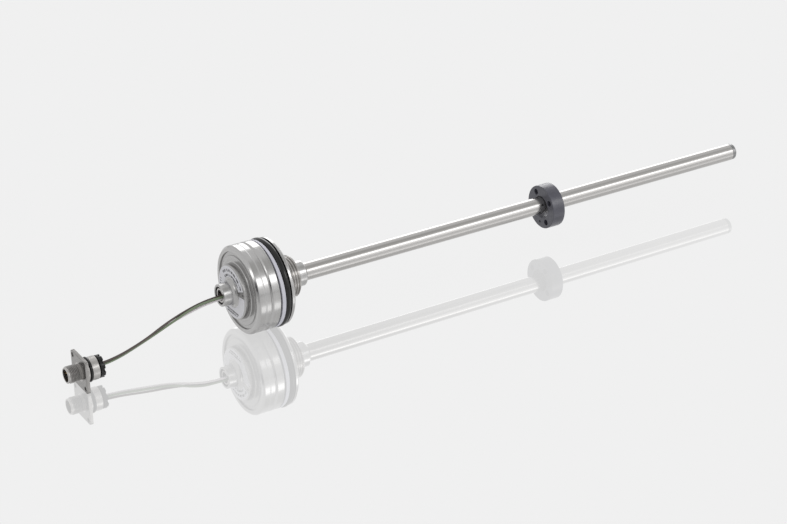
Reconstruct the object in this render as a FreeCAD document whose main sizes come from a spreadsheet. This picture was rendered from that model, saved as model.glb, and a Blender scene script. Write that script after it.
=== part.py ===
"""Magnetostrictive linear position sensor, embedded type with a pressure flange.

A round housing closes the bore of a hydraulic cylinder. Its pressure-proof rod reaches into the
cylinder, and a ring magnet on the piston slides along it. Three wires leave the rear cover and end
in a round connector with a square plate.

Frame: origin in the middle of the flange's mounting face, +X along the rod to its tip, +Z up.
All sizes are in millimetres and degrees.
"""
import FreeCAD, Part
import Sketcher
import math
import os
import re

os.makedirs("parts", exist_ok=True)
Vector = FreeCAD.Vector
doc = FreeCAD.newDocument("PositionSensor")

# Sizes
SIZES = [
    # the housing, from the mounting face back to the rear rim
    ("housing_radius", 31.45, "flange and sleeve, slides into a 63 mm bore"),
    ("housing_length", 28.6, "mounting face to rear rim"),
    ("sleeve_length", 9.7, "rear rim to the joint with the flange"),
    ("lip_drop", 0.25, "lip beside the seal groove, below the housing surface"),
    ("lip_width", 2.6, "mounting face to the seal groove"),
    ("lip_bevel", 1.0, "bevel at the mounting face"),
    ("joint_bevel", 1.8, "wide bevel of the flange that shows at the joint"),
    ("groove_bevel", 0.85, "bevel of the flange behind the back-up ring"),
    ("cavity_wall", 8.95, "flange wall round the room for the electronics"),
    ("cavity_floor", 5.0, "flange wall at the mounting face"),
    ("spigot_length", 4.0, "flange spigot inside the sleeve"),
    ("sleeve_wall", 5.45, "wall of the sleeve"),
    ("spigot_fit", 0.05, "spigot to sleeve, radial"),
    ("small_seal_section", 1.2, "section of the housing seal"),
    ("small_seal_place", 1.1, "joint to the groove of the housing seal"),
    # the seal of the flange
    ("seal_proud", 0.7, "flange O-ring above the housing surface"),
    ("seal_section", 5.33, "its section"),
    ("seal_slack", 0.05, "free play of each ring in its groove"),
    ("backup_width", 2.75, "width of the back-up ring"),
    ("backup_drop", 0.15, "back-up ring below the housing surface"),
    # boss, collar and rod
    ("boss_radius", 15.0, "M30 x 2 thread, major radius"),
    ("boss_length", 13.7, "mounting face to the end of the boss"),
    ("boss_bevel", 1.0, "lead-in of the thread"),
    ("collar_radius", 9.2, "collar that carries the rod"),
    ("collar_end", 21.9, "mounting face to the end of the collar"),
    ("collar_bevel", 0.8, "bevel of the collar"),
    ("rod_radius", 6.35, "pressure tube, half an inch across"),
    ("rod_bore_radius", 4.85, "inside of the tube"),
    ("rod_length", 402.6, "mounting face to the end of the tube"),
    ("rod_root", 3.0, "tube behind the mounting face"),
    ("rod_fit", 0.03, "tube to flange, radial"),
    ("plug_radius", 6.3, "end plug"),
    ("plug_length", 3.4, "plug beyond the tube"),
    ("plug_round", 0.9, "rounding of its end"),
    ("plug_spigot", 8.0, "plug inside the tube"),
    ("inner_fit", 0.05, "inner pieces to the tube, radial"),
    # the sleeve and its turned lines
    ("rim_bevel", 1.4, "bevel of the rear rim"),
    ("line_place", 5.35, "rear rim to the shallow turned line"),
    ("line_width", 0.8, "width of that line"),
    ("line_depth", 0.15, "depth of that line"),
    ("rim_wall", 3.95, "wall round the recess for the cover"),
    ("cover_seat_depth", 4.0, "rear rim to the cover's seat"),
    # the rear cover
    ("cover_fit", 0.08, "cover to sleeve, radial"),
    ("cover_face_drop", 0.45, "cover face below the rear rim"),
    ("cover_gap", 2.7, "ring channel round the cover face"),
    ("cover_gap_depth", 0.6, "cover face to the floor of that channel"),
    ("plinth_margin", 7.3, "recess wall to the foot of the conical plinth"),
    ("plinth_slope", 1.2, "foot of the plinth to its top, radial"),
    ("plinth_height", 4.5, "rear rim to the top of the plinth"),
    ("plinth_edge", 0.6, "bevel of the plinth's edge"),
    ("foot_round", 1.0, "fillet at the plinth's foot"),
    ("nozzle_radius", 8.1, "nozzle above its flare"),
    ("nozzle_flare", 3.0, "fillet at the nozzle's root"),
    ("nozzle_length", 14.0, "rear rim to the mouth"),
    ("mouth_radius", 7.95, "outside of the mouth"),
    ("mouth_bore_radius", 6.3, "counterbore of the mouth"),
    ("mouth_bore_depth", 3.4, "depth of the counterbore"),
    ("mouth_bevel", 0.35, "bevels of the mouth, the cover face and the outlet sleeve"),
    ("outlet_radius", 5.2, "outlet sleeve"),
    ("outlet_bore_radius", 3.95, "bore of the outlet sleeve"),
    ("outlet_length", 9.0, "length of the outlet sleeve"),
    ("outlet_drop", 0.5, "outlet sleeve inside the mouth"),
    ("outlet_fit", 0.04, "outlet sleeve and grommet, radial"),
    ("grommet_drop", 5.4, "mouth to the face of the grommet"),
    ("grommet_length", 3.2, "length of the grommet"),
    # electronics
    ("carrier_thickness", 2.0, "moulded carrier on the cavity floor"),
    ("carrier_gap", 0.4, "carrier to cavity wall, radial"),
    ("hub_radius", 6.2, "hub that holds the bobbin"),
    ("hub_height", 1.5, "hub above the carrier"),
    ("carrier_bore_radius", 1.6, "passage for the waveguide"),
    ("post_radius", 2.0, "posts and spacers"),
    ("post_inset", 6.0, "cavity wall to the middle of a post"),
    ("post_height", 6.0, "carrier to the inner board"),
    ("board_thickness", 1.6, "circuit boards"),
    ("board_gap", 2.0, "cavity wall to the edge of a board"),
    ("board_bore_radius", 3.0, "hole in the middle of a board"),
    ("spacer_height", 4.0, "between the boards"),
    ("bobbin_length", 4.2, "coil bobbin"),
    ("bobbin_radius", 5.0, "its end discs"),
    ("bobbin_core_radius", 1.6, "its core"),
    ("bobbin_wall", 0.6, "its end discs, thickness"),
    ("bobbin_bore_radius", 0.8, "its bore"),
    ("coil_radius", 4.4, "outside of the winding"),
    ("coil_fit", 0.05, "winding to bobbin"),
    ("tape_width", 1.0, "strain tape"),
    ("tape_thickness", 0.2, "strain tape"),
    ("bias_height", 4.0, "bias magnet above the carrier"),
    ("bias_width", 3.0, "bias magnet"),
    ("bias_offset", 7.0, "axis to the bias magnet"),
    # inside the rod
    ("waveguide_radius", 0.3, "magnetostrictive wire"),
    ("waveguide_gap", 6.6, "its end to the plug"),
    ("liner_radius", 0.9, "insulating sleeve"),
    ("liner_bore_radius", 0.45, "its bore"),
    ("liner_start", 2.0, "liner and conductor behind the mounting face"),
    ("liner_gap", 22.6, "their end to the plug"),
    ("conductor_radius", 0.4, "return conductor"),
    ("conductor_offset", 2.6, "rod axis to the conductor"),
    ("centring_length", 4.0, "centring spacers"),
    ("centring_count", 4, "spacers, evenly along the tube"),
    ("centring_fit", 0.05, "liner and conductor in a spacer"),
    ("damper_length", 16.0, "damping element"),
    ("damper_gap", 2.0, "liner to damping element"),
    # ring magnet
    ("magnet_radius", 16.3, "outer radius"),
    ("magnet_bore_radius", 8.4, "bore"),
    ("magnet_thickness", 10.2, "thickness"),
    ("magnet_place", 224.4, "mounting face to its near face"),
    ("magnet_rest_gap", 0.3, "top of the bore to the rod"),
    ("magnet_edge", 0.4, "bevel of its edges"),
    ("magnet_hole_radius", 2.15, "bolt holes"),
    ("magnet_hole_circle", 23.9, "diameter of the hole circle"),
    ("magnet_hole_phase", 57.0, "first hole, from +Y towards +Z"),
    ("magnet_hole_count", 4, "bolt holes"),
    # connector: stations are counted from the front face of its plate
    ("connector_place", 152.8, "mounting face back to the plate"),
    ("connector_aside", 10.8, "rod axis to connector axis, towards -Y"),
    ("connector_below", 20.4, "rod axis down to connector axis"),
    ("plate_side", 23.4, "square plate"),
    ("plate_thickness", 2.5, "its thickness"),
    ("plate_corner", 1.5, "its corner radius"),
    ("plate_hole_spacing", 17.8, "screw holes, both ways"),
    ("plate_hole_radius", 1.6, "screw holes"),
    ("barrel_radius", 6.0, "M12 x 1 thread, major radius"),
    ("barrel_length", 9.55, "plate to the mouth"),
    ("nose_radius", 5.55, "plain nose ahead of the thread"),
    ("nose_length", 1.5, "its length"),
    ("nose_bevel", 0.35, "bevels of nose and thread"),
    ("undercut_length", 1.6, "thread run-out at the plate"),
    ("undercut_depth", 0.6, "its depth"),
    ("socket_radius", 4.45, "inside of the barrel"),
    ("socket_depth", 7.6, "mouth to the face of the insert"),
    ("shoulder_radius", 8.0, "behind the plate"),
    ("shoulder_length", 2.4, "plate to the seal groove"),
    ("ring_section", 2.0, "section of the connector O-ring"),
    ("ring_radius", 8.7, "its outer radius"),
    ("tail_radius", 8.1, "collar behind the seal"),
    ("tail_length", 4.6, "its length"),
    ("tail_bevel", 0.6, "its rear bevel"),
    ("rear_bore_radius", 5.3, "rear bore of the shell"),
    ("rear_bore_start", 3.0, "plate front to the step of the bore"),
    ("insert_fit", 0.05, "insert and clip ring in the shell, radial"),
    ("insert_flange_length", 5.5, "thick part of the insert"),
    ("insert_tail_radius", 4.5, "rear of the insert"),
    ("insert_tail_end", 13.4, "plate front to the insert's rear face"),
    ("clip_radius", 7.8, "castellated clip ring"),
    ("clip_end", 16.0, "plate front to its rear face"),
    ("clip_bore_radius", 4.6, "its bore"),
    ("clip_gap", 0.2, "shell to the ring's shoulder"),
    ("notch_width", 2.4, "notches in its rear edge"),
    ("notch_depth", 1.7, "notches in its rear edge"),
    ("notch_floor_radius", 6.1, "inner end of a notch"),
    ("notch_count", 8, "notches"),
    ("contact_radius", 0.5, "contact pins"),
    ("contact_circle_radius", 3.0, "circle of the pins"),
    ("contact_drop", 1.6, "mouth to the pin tips"),
    ("contact_root", 3.0, "pins inside the insert"),
    ("contact_bevel", 0.25, "bevel of a tip"),
    ("contact_fit", 0.03, "pin to insert, radial"),
    # wires
    ("wire_radius", 0.75, "insulated wires"),
]

sheet = doc.addObject("Spreadsheet::Sheet", "Sizes")
for row, (alias, value, note) in enumerate(SIZES, start=1):
    sheet.set("A%d" % row, note)
    sheet.set("B%d" % row, str(value))
    sheet.setAlias("B%d" % row, alias)
doc.recompute()

NAMES = {alias for alias, value, note in SIZES}


def size(alias):
    """The number that the sheet holds for one size."""
    return float(sheet.get(alias))


def formula(text):
    """An expression on the sheet: each size's name gets the sheet's name before it."""
    return re.sub(r"[a-z_]+", lambda m: "Sizes." + m.group() if m.group() in NAMES else m.group(), text)


def bind(item, **bindings):
    """Bind properties of an object to sizes; a double underscore stands for a dot."""
    for name, text in bindings.items():
        item.setExpression(name.replace("__", "."), formula(text))


# Sketches and features
def new_sketch(body, role, name, station=None):
    """A sketch on one of the body's own origin planes, moved along its normal to a station."""
    plane = [item for item in body.Origin.OriginFeatures if item.Role == role][0]
    sketch = body.newObject("Sketcher::SketchObject", name)
    sketch.AttachmentSupport = [(plane, "")]
    sketch.MapMode = "FlatFace"
    if station:
        bind(sketch, AttachmentOffset__Base__z=station)
    return sketch


def fix_point(sketch, edge, end, across, up):
    """Hold a point of the sketch at two distances from its origin."""
    for kind, text in (("DistanceX", across), ("DistanceY", up)):
        number = sketch.addConstraint(Sketcher.Constraint(kind, -1, 1, edge, end, 1.0))
        sketch.setExpression("Constraints[%d]" % number, formula(text))


def add_polygon(sketch, corners):
    """A closed polygon whose corners are each held by a pair of expressions."""
    count = len(corners)
    turn = 2 * math.pi / count
    start = [Vector(40 + 9 * math.cos(turn * i), 40 + 9 * math.sin(turn * i), 0) for i in range(count)]
    for i in range(count):
        sketch.addGeometry(Part.LineSegment(start[i], start[(i + 1) % count]))
    for i in range(count):
        sketch.addConstraint(Sketcher.Constraint("Coincident", i, 2, (i + 1) % count, 1))
    for i, corner in enumerate(corners):
        fix_point(sketch, i, 1, corner[0], corner[1])


def add_circle(sketch, across, up, radius):
    """A circle held by its centre and its radius."""
    number = sketch.addGeometry(Part.Circle(Vector(5, 5, 0), Vector(0, 0, 1), 2.0))
    fix_point(sketch, number, 3, across, up)
    held = sketch.addConstraint(Sketcher.Constraint("Radius", number, 2.0))
    sketch.setExpression("Constraints[%d]" % held, formula(radius))


def ring_edges(feature, centre_x, radius):
    """Names of the round edges of a turned feature at one station and radius."""
    names = []
    for number, edge in enumerate(feature.Shape.Edges, start=1):
        curve = edge.Curve
        if not hasattr(curve, "Radius"):
            continue
        if abs(curve.Center.x - centre_x) < 1e-4 and abs(curve.Radius - radius) < 1e-4:
            names.append("Edge%d" % number)
    return names


def dress_corners(body, feature, sketch, corners):
    """Round or bevel the corners of a turned outline that ask for it."""
    wanted = {}
    for i, corner in enumerate(corners):
        if len(corner) > 2:
            spot = sketch.Geometry[i].StartPoint
            wanted.setdefault(corner[2:], []).append((spot.x, spot.y))
    for (kind, amount), spots in wanted.items():
        edges = [name for x, radius in spots for name in ring_edges(feature, x, radius)]
        dressed = body.newObject("PartDesign::" + kind, body.Label + "_" + amount)
        dressed.Base = (feature, edges)
        if kind == "Fillet":
            bind(dressed, Radius=amount)
        else:
            bind(dressed, Size=amount)
        doc.recompute()
        feature = dressed
    return feature


def turned(label, corners, place=None):
    """A piece turned about a line along X. Each corner is (station, radius), and it can add
    ("Fillet" or "Chamfer", size) for its edge."""
    body = doc.addObject("PartDesign::Body", label)
    body.Label = label
    sketch = new_sketch(body, "XZ_Plane", label + "_outline")
    add_polygon(sketch, corners)
    solid = body.newObject("PartDesign::Revolution", label + "_turned")
    solid.Profile = sketch
    solid.ReferenceAxis = (sketch, ["H_Axis"])
    solid.Angle = 360
    doc.recompute()
    dress_corners(body, solid, sketch, corners)
    if place:
        bind(body, Placement__Base__x=place[0], Placement__Base__y=place[1], Placement__Base__z=place[2])
    return body


def tube(label, start, end, bore, radius, place=None):
    """A plain ring or tube between two stations."""
    return turned(label, [(start, bore), (start, radius), (end, radius), (end, bore)], place)


def rod(label, start, end, radius, place=None):
    """A plain round rod between two stations."""
    return turned(label, [(start, "0"), (start, radius), (end, radius), (end, "0")], place)


def cut_checked(body, feature, what):
    """Recompute, and insist that the last feature took material away."""
    before = feature.BaseFeature.Shape.Volume
    doc.recompute()
    if feature.Shape.Volume > before - 1e-3:
        raise RuntimeError("%s: %s cut nothing" % (body.Label, what))


def pocket(body, sketch, depth, name, reverse=False):
    """Cut a sketch into the body for a depth, away from the sketch plane."""
    cut = body.newObject("PartDesign::Pocket", name)
    cut.Profile = sketch
    bind(cut, Length=depth)
    cut.Reversed = reverse
    cut_checked(body, cut, name)
    return cut


def repeat_round(body, feature, count, name):
    """Repeat a feature evenly about the body's X axis."""
    axis = [item for item in body.Origin.OriginFeatures if item.Role == "X_Axis"][0]
    pattern = body.newObject("PartDesign::PolarPattern", name)
    pattern.Originals = [feature]
    pattern.Axis = (axis, [""])
    pattern.Angle = 360
    bind(pattern, Occurrences=count)
    body.Tip = pattern
    doc.recompute()
    return pattern


# Named places along X
REAR_RIM = "-housing_length"
LIP_RADIUS = "housing_radius - lip_drop"
SLEEVE_BORE = "housing_radius - sleeve_wall"
CAVITY = "housing_radius - cavity_wall"
SEAL_RADIUS = "housing_radius + seal_proud"
SEAT_RADIUS = "housing_radius - rim_wall"
PLINTH_FOOT = SEAT_RADIUS + " - plinth_margin"
PLINTH_RADIUS = PLINTH_FOOT + " - plinth_slope"
JOINT = "-(housing_length - sleeve_length)"
GROOVE_NEAR = "-lip_width"
GROOVE_FAR = "-(lip_width + seal_section + backup_width + 4 * seal_slack)"
GROOVE_FLOOR = SEAL_RADIUS + " - seal_section - seal_slack"
CAVITY_FLOOR = "-cavity_floor"
SPIGOT_END = "-(housing_length - sleeve_length + spigot_length)"
SPIGOT_RADIUS = SLEEVE_BORE + " - spigot_fit"
SMALL_GROOVE_FLOOR = SLEEVE_BORE + " - small_seal_section - spigot_fit"
SMALL_GROOVE_NEAR = "-(housing_length - sleeve_length + small_seal_place)"
SMALL_GROOVE_FAR = SMALL_GROOVE_NEAR + " - small_seal_section - 2 * seal_slack"
ROD_BORE = "rod_radius + rod_fit"
COVER_SEAT = "-(housing_length - cover_seat_depth)"
COVER_FACE = "-(housing_length - cover_face_drop)"
COVER_RADIUS = SEAT_RADIUS + " - cover_fit"
COVER_FACE_RADIUS = SEAT_RADIUS + " - cover_gap"
PLINTH_TOP = "-(housing_length + plinth_height)"
MOUTH = "-(housing_length + nozzle_length)"
MOUTH_FLOOR = MOUTH + " + mouth_bore_depth"
OUTLET_START = MOUTH + " + outlet_drop"
OUTLET_END = MOUTH + " + outlet_drop + outlet_length"
GROMMET_FACE = MOUTH + " + grommet_drop"
GROMMET_BACK = MOUTH + " + grommet_drop + grommet_length"

# Housing
pressure_flange = turned("pressure_flange", [
    ("collar_end", ROD_BORE),
    ("collar_end", "collar_radius", "Chamfer", "collar_bevel"),
    ("boss_length", "collar_radius"),
    ("boss_length", "boss_radius", "Chamfer", "boss_bevel"),
    ("0", "boss_radius"),
    ("0", LIP_RADIUS, "Chamfer", "lip_bevel"),
    (GROOVE_NEAR, LIP_RADIUS),
    (GROOVE_NEAR, GROOVE_FLOOR),
    (GROOVE_FAR, GROOVE_FLOOR),
    (GROOVE_FAR, "housing_radius", "Chamfer", "groove_bevel"),
    (JOINT, "housing_radius", "Chamfer", "joint_bevel"),
    (JOINT, SPIGOT_RADIUS),
    (SMALL_GROOVE_NEAR, SPIGOT_RADIUS),
    (SMALL_GROOVE_NEAR, SMALL_GROOVE_FLOOR),
    (SMALL_GROOVE_FAR, SMALL_GROOVE_FLOOR),
    (SMALL_GROOVE_FAR, SPIGOT_RADIUS),
    (SPIGOT_END, SPIGOT_RADIUS),
    (SPIGOT_END, CAVITY),
    (CAVITY_FLOOR, CAVITY),
    (CAVITY_FLOOR, ROD_BORE),
])

housing_sleeve = turned("housing_sleeve", [
    (JOINT, SLEEVE_BORE),
    (JOINT, "housing_radius"),
    (REAR_RIM + " + line_place + line_width", "housing_radius"),
    (REAR_RIM + " + line_place + line_width", "housing_radius - line_depth"),
    (REAR_RIM + " + line_place", "housing_radius - line_depth"),
    (REAR_RIM + " + line_place", "housing_radius"),
    (REAR_RIM, "housing_radius", "Chamfer", "rim_bevel"),
    (REAR_RIM, SEAT_RADIUS),
    (COVER_SEAT, SEAT_RADIUS),
    (COVER_SEAT, SLEEVE_BORE),
])

rear_cover = turned("rear_cover", [
    (COVER_SEAT, "outlet_bore_radius"),
    (COVER_SEAT, COVER_RADIUS),
    (COVER_FACE + " + cover_gap_depth", COVER_RADIUS),
    (COVER_FACE + " + cover_gap_depth", COVER_FACE_RADIUS),
    (COVER_FACE, COVER_FACE_RADIUS, "Chamfer", "mouth_bevel"),
    (COVER_FACE, PLINTH_FOOT, "Fillet", "foot_round"),
    (PLINTH_TOP, PLINTH_RADIUS, "Chamfer", "plinth_edge"),
    (PLINTH_TOP, "nozzle_radius", "Fillet", "nozzle_flare"),
    (MOUTH, "mouth_radius", "Chamfer", "mouth_bevel"),
    (MOUTH, "mouth_bore_radius"),
    (MOUTH_FLOOR, "mouth_bore_radius"),
    (MOUTH_FLOOR, "outlet_radius + outlet_fit"),
    (OUTLET_END, "outlet_radius + outlet_fit"),
    (OUTLET_END, "outlet_bore_radius"),
])

outlet_sleeve = turned("outlet_sleeve", [
    (OUTLET_START, "outlet_bore_radius"),
    (OUTLET_START, "outlet_radius", "Chamfer", "mouth_bevel"),
    (OUTLET_END, "outlet_radius"),
    (OUTLET_END, "outlet_bore_radius"),
])
wire_grommet = rod("wire_grommet", GROMMET_FACE, GROMMET_BACK, "outlet_bore_radius - outlet_fit")

# Seals
def seal_ring(label, station, outer, section):
    """An O-ring about the X axis, given by its outer radius and its section."""
    ring = doc.addObject("Part::Torus", label)
    ring.Label = label
    ring.Placement = FreeCAD.Placement(Vector(0, 0, 0), FreeCAD.Rotation(Vector(0, 1, 0), 90))
    bind(ring, Radius1="%s - %s / 2" % (outer, section), Radius2=section + " / 2")
    bind(ring, Placement__Base__x=station)
    return ring


flange_o_ring = seal_ring("flange_o_ring", "-(lip_width + seal_slack + seal_section / 2)",
                          SEAL_RADIUS, "seal_section")
housing_seal = tube("housing_seal", SMALL_GROOVE_FAR + " + seal_slack",
                    SMALL_GROOVE_FAR + " + seal_slack + small_seal_section",
                    SMALL_GROOVE_FLOOR + " + spigot_fit / 4", SLEEVE_BORE + " - spigot_fit / 4")
backup_ring = tube("backup_ring", GROOVE_FAR + " + seal_slack",
                   GROOVE_FAR + " + seal_slack + backup_width",
                   GROOVE_FLOOR + " + seal_slack", "housing_radius - backup_drop")

# Rod
rod_tube = tube("rod_tube", "-rod_root", "rod_length", "rod_bore_radius", "rod_radius")
rod_end_plug = turned("rod_end_plug", [
    ("rod_length - plug_spigot", "0"),
    ("rod_length - plug_spigot", "rod_bore_radius - inner_fit"),
    ("rod_length", "rod_bore_radius - inner_fit"),
    ("rod_length", "plug_radius"),
    ("rod_length + plug_length", "plug_radius", "Fillet", "plug_round"),
    ("rod_length + plug_length", "0"),
])

HUB_TOP = "-(cavity_floor + carrier_thickness + hub_height)"
PLUG_START = "rod_length - plug_spigot"
LINER_END = PLUG_START + " - liner_gap"
WAVEGUIDE_END = PLUG_START + " - waveguide_gap"
waveguide = rod("waveguide", HUB_TOP + " - bobbin_length", WAVEGUIDE_END, "waveguide_radius")
waveguide_sleeve = tube("waveguide_sleeve", "-liner_start", LINER_END, "liner_bore_radius", "liner_radius")
return_conductor = rod("return_conductor", "-liner_start", LINER_END, "conductor_radius",
                       ("0", "0", "conductor_offset"))
for number in range(1, int(size("centring_count")) + 1):
    middle = "%d * rod_length / (centring_count + 1)" % number
    spacer = tube("centring_spacer_%d" % number, middle + " - centring_length / 2",
                  middle + " + centring_length / 2", "liner_radius + centring_fit",
                  "rod_bore_radius - inner_fit")
    passage = new_sketch(spacer, "YZ_Plane", "passage_%d" % number, middle + " - centring_length / 2")
    add_circle(passage, "0", "conductor_offset", "conductor_radius + centring_fit")
    pocket(spacer, passage, "centring_length", "passage_cut_%d" % number, reverse=True)
damping_element = turned("damping_element", [
    (LINER_END + " + damper_gap", "waveguide_radius + centring_fit"),
    (LINER_END + " + damper_gap", "rod_bore_radius - inner_fit"),
    (LINER_END + " + damper_gap + damper_length", "rod_bore_radius - inner_fit"),
    (LINER_END + " + damper_gap + damper_length", "waveguide_radius + centring_fit"),
])

# Electronics
CARRIER_TOP = "-(cavity_floor + carrier_thickness)"
INNER_BOARD = "-(cavity_floor + carrier_thickness + post_height)"
INNER_BOARD_TOP = INNER_BOARD + " - board_thickness"
OUTER_BOARD = INNER_BOARD_TOP + " - spacer_height"
BOBBIN_TOP = HUB_TOP + " - bobbin_length"
POST_CIRCLE = CAVITY + " - post_inset"
BOARD_RADIUS = CAVITY + " - board_gap"

electronics_carrier = turned("electronics_carrier", [
    (CAVITY_FLOOR, "carrier_bore_radius"),
    (CAVITY_FLOOR, CAVITY + " - carrier_gap"),
    (CARRIER_TOP, CAVITY + " - carrier_gap"),
    (CARRIER_TOP, "hub_radius"),
    (HUB_TOP, "hub_radius"),
    (HUB_TOP, "carrier_bore_radius"),
])
post_sketch = new_sketch(electronics_carrier, "YZ_Plane", "post_outline", CARRIER_TOP)
add_circle(post_sketch, "0", POST_CIRCLE, "post_radius")
post = electronics_carrier.newObject("PartDesign::Pad", "post")
post.Profile = post_sketch
bind(post, Length="post_height")
post.Reversed = True
doc.recompute()
repeat_round(electronics_carrier, post, "3", "posts")

board_inner = tube("board_inner", INNER_BOARD, INNER_BOARD_TOP, "board_bore_radius", BOARD_RADIUS)
board_outer = tube("board_outer", OUTER_BOARD, OUTER_BOARD + " - board_thickness",
                   "board_bore_radius", BOARD_RADIUS)
for number in range(1, 4):
    angle = "(90 + %d)" % (120 * (number - 1))
    rod("board_spacer_%d" % number, INNER_BOARD_TOP, OUTER_BOARD, "post_radius",
        ("0", "(%s) * cos(%s)" % (POST_CIRCLE, angle), "(%s) * sin(%s)" % (POST_CIRCLE, angle)))

coil_bobbin = turned("coil_bobbin", [
    (HUB_TOP, "bobbin_bore_radius"),
    (HUB_TOP, "bobbin_radius"),
    (HUB_TOP + " - bobbin_wall", "bobbin_radius"),
    (HUB_TOP + " - bobbin_wall", "bobbin_core_radius"),
    (BOBBIN_TOP + " + bobbin_wall", "bobbin_core_radius"),
    (BOBBIN_TOP + " + bobbin_wall", "bobbin_radius"),
    (BOBBIN_TOP, "bobbin_radius"),
    (BOBBIN_TOP, "bobbin_bore_radius"),
])
pickup_coil = tube("pickup_coil", HUB_TOP + " - bobbin_wall - coil_fit",
                   BOBBIN_TOP + " + bobbin_wall + coil_fit",
                   "bobbin_core_radius + coil_fit", "coil_radius")

strain_tape = doc.addObject("Part::Box", "strain_tape")
bind(strain_tape, Length="bobbin_length", Width="tape_width", Height="tape_thickness",
     Placement__Base__x=BOBBIN_TOP, Placement__Base__y="-tape_width / 2",
     Placement__Base__z="waveguide_radius")
bias_magnet = doc.addObject("Part::Box", "bias_magnet")
bind(bias_magnet, Length="bias_height", Width="bias_width", Height="bias_width",
     Placement__Base__x=CARRIER_TOP + " - bias_height", Placement__Base__y="-bias_width / 2",
     Placement__Base__z="-bias_offset - bias_width")

# Ring magnet
ring_magnet = turned("ring_magnet", [
    ("0", "magnet_bore_radius"),
    ("0", "magnet_radius", "Chamfer", "magnet_edge"),
    ("magnet_thickness", "magnet_radius", "Chamfer", "magnet_edge"),
    ("magnet_thickness", "magnet_bore_radius"),
], ("magnet_place", "0", "-(magnet_bore_radius - rod_radius - magnet_rest_gap)"))
hole_sketch = new_sketch(ring_magnet, "YZ_Plane", "bolt_hole")
add_circle(hole_sketch, "magnet_hole_circle / 2 * cos(magnet_hole_phase)",
           "magnet_hole_circle / 2 * sin(magnet_hole_phase)", "magnet_hole_radius")
bolt_hole = pocket(ring_magnet, hole_sketch, "magnet_thickness", "bolt_hole_cut", reverse=True)
repeat_round(ring_magnet, bolt_hole, "magnet_hole_count", "bolt_holes")

# Connector
CONNECTOR = ("-connector_place", "-connector_aside", "-connector_below")
INSERT_FACE = "-(barrel_length - socket_depth)"
SEAL_NEAR = "plate_thickness + shoulder_length"
SEAL_FAR = "plate_thickness + shoulder_length + ring_section + 2 * seal_slack"
TAIL_END = SEAL_FAR + " + tail_length"
INSERT_STEP = "rear_bore_start + insert_flange_length"

connector_shell = turned("connector_shell", [
    ("-barrel_length", "socket_radius"),
    ("-barrel_length", "nose_radius", "Chamfer", "nose_bevel"),
    ("-barrel_length + nose_length", "nose_radius"),
    ("-barrel_length + nose_length", "barrel_radius", "Chamfer", "nose_bevel"),
    ("-undercut_length", "barrel_radius"),
    ("-undercut_length", "barrel_radius - undercut_depth"),
    ("0", "barrel_radius - undercut_depth"),
    ("0", "shoulder_radius"),
    (SEAL_NEAR, "shoulder_radius"),
    (SEAL_NEAR, "ring_radius - ring_section - seal_slack"),
    (SEAL_FAR, "ring_radius - ring_section - seal_slack"),
    (SEAL_FAR, "tail_radius"),
    (TAIL_END, "tail_radius", "Chamfer", "tail_bevel"),
    (TAIL_END, "rear_bore_radius"),
    ("rear_bore_start", "rear_bore_radius"),
    ("rear_bore_start", "socket_radius"),
], CONNECTOR)

# The square plate stands round the turned shell: a padded square, open in the middle, with its
# four corners rounded and its four screw holes cut.
plate_sketch = new_sketch(connector_shell, "YZ_Plane", "plate_outline")
HALF_SIDE = "plate_side / 2"
add_polygon(plate_sketch, [
    ("-" + HALF_SIDE, "-" + HALF_SIDE),
    (HALF_SIDE, "-" + HALF_SIDE),
    (HALF_SIDE, HALF_SIDE),
    ("-" + HALF_SIDE, HALF_SIDE),
])
add_circle(plate_sketch, "0", "0", "shoulder_radius - plate_corner")
plate = connector_shell.newObject("PartDesign::Pad", "plate")
plate.Profile = plate_sketch
bind(plate, Length="plate_thickness")
doc.recompute()
half = size("plate_side") / 2
corner_edges = []
for number, edge in enumerate(plate.Shape.Edges, start=1):
    middle = edge.BoundBox.Center
    if edge.BoundBox.XLength > 1e-3 and abs(abs(middle.y) - half) < 1e-4 and abs(abs(middle.z) - half) < 1e-4:
        corner_edges.append("Edge%d" % number)
plate_corners = connector_shell.newObject("PartDesign::Fillet", "plate_corners")
plate_corners.Base = (plate, corner_edges)
bind(plate_corners, Radius="plate_corner")
doc.recompute()
screw_sketch = new_sketch(connector_shell, "YZ_Plane", "screw_hole")
add_circle(screw_sketch, "plate_hole_spacing / 2", "plate_hole_spacing / 2", "plate_hole_radius")
screw_hole = pocket(connector_shell, screw_sketch, "plate_thickness", "screw_hole_cut", reverse=True)
repeat_round(connector_shell, screw_hole, "4", "screw_holes")

connector_o_ring = seal_ring("connector_o_ring",
                             "-connector_place + plate_thickness + shoulder_length + seal_slack"
                             " + ring_section / 2", "ring_radius", "ring_section")
bind(connector_o_ring, Placement__Base__y=CONNECTOR[1], Placement__Base__z=CONNECTOR[2])

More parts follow.
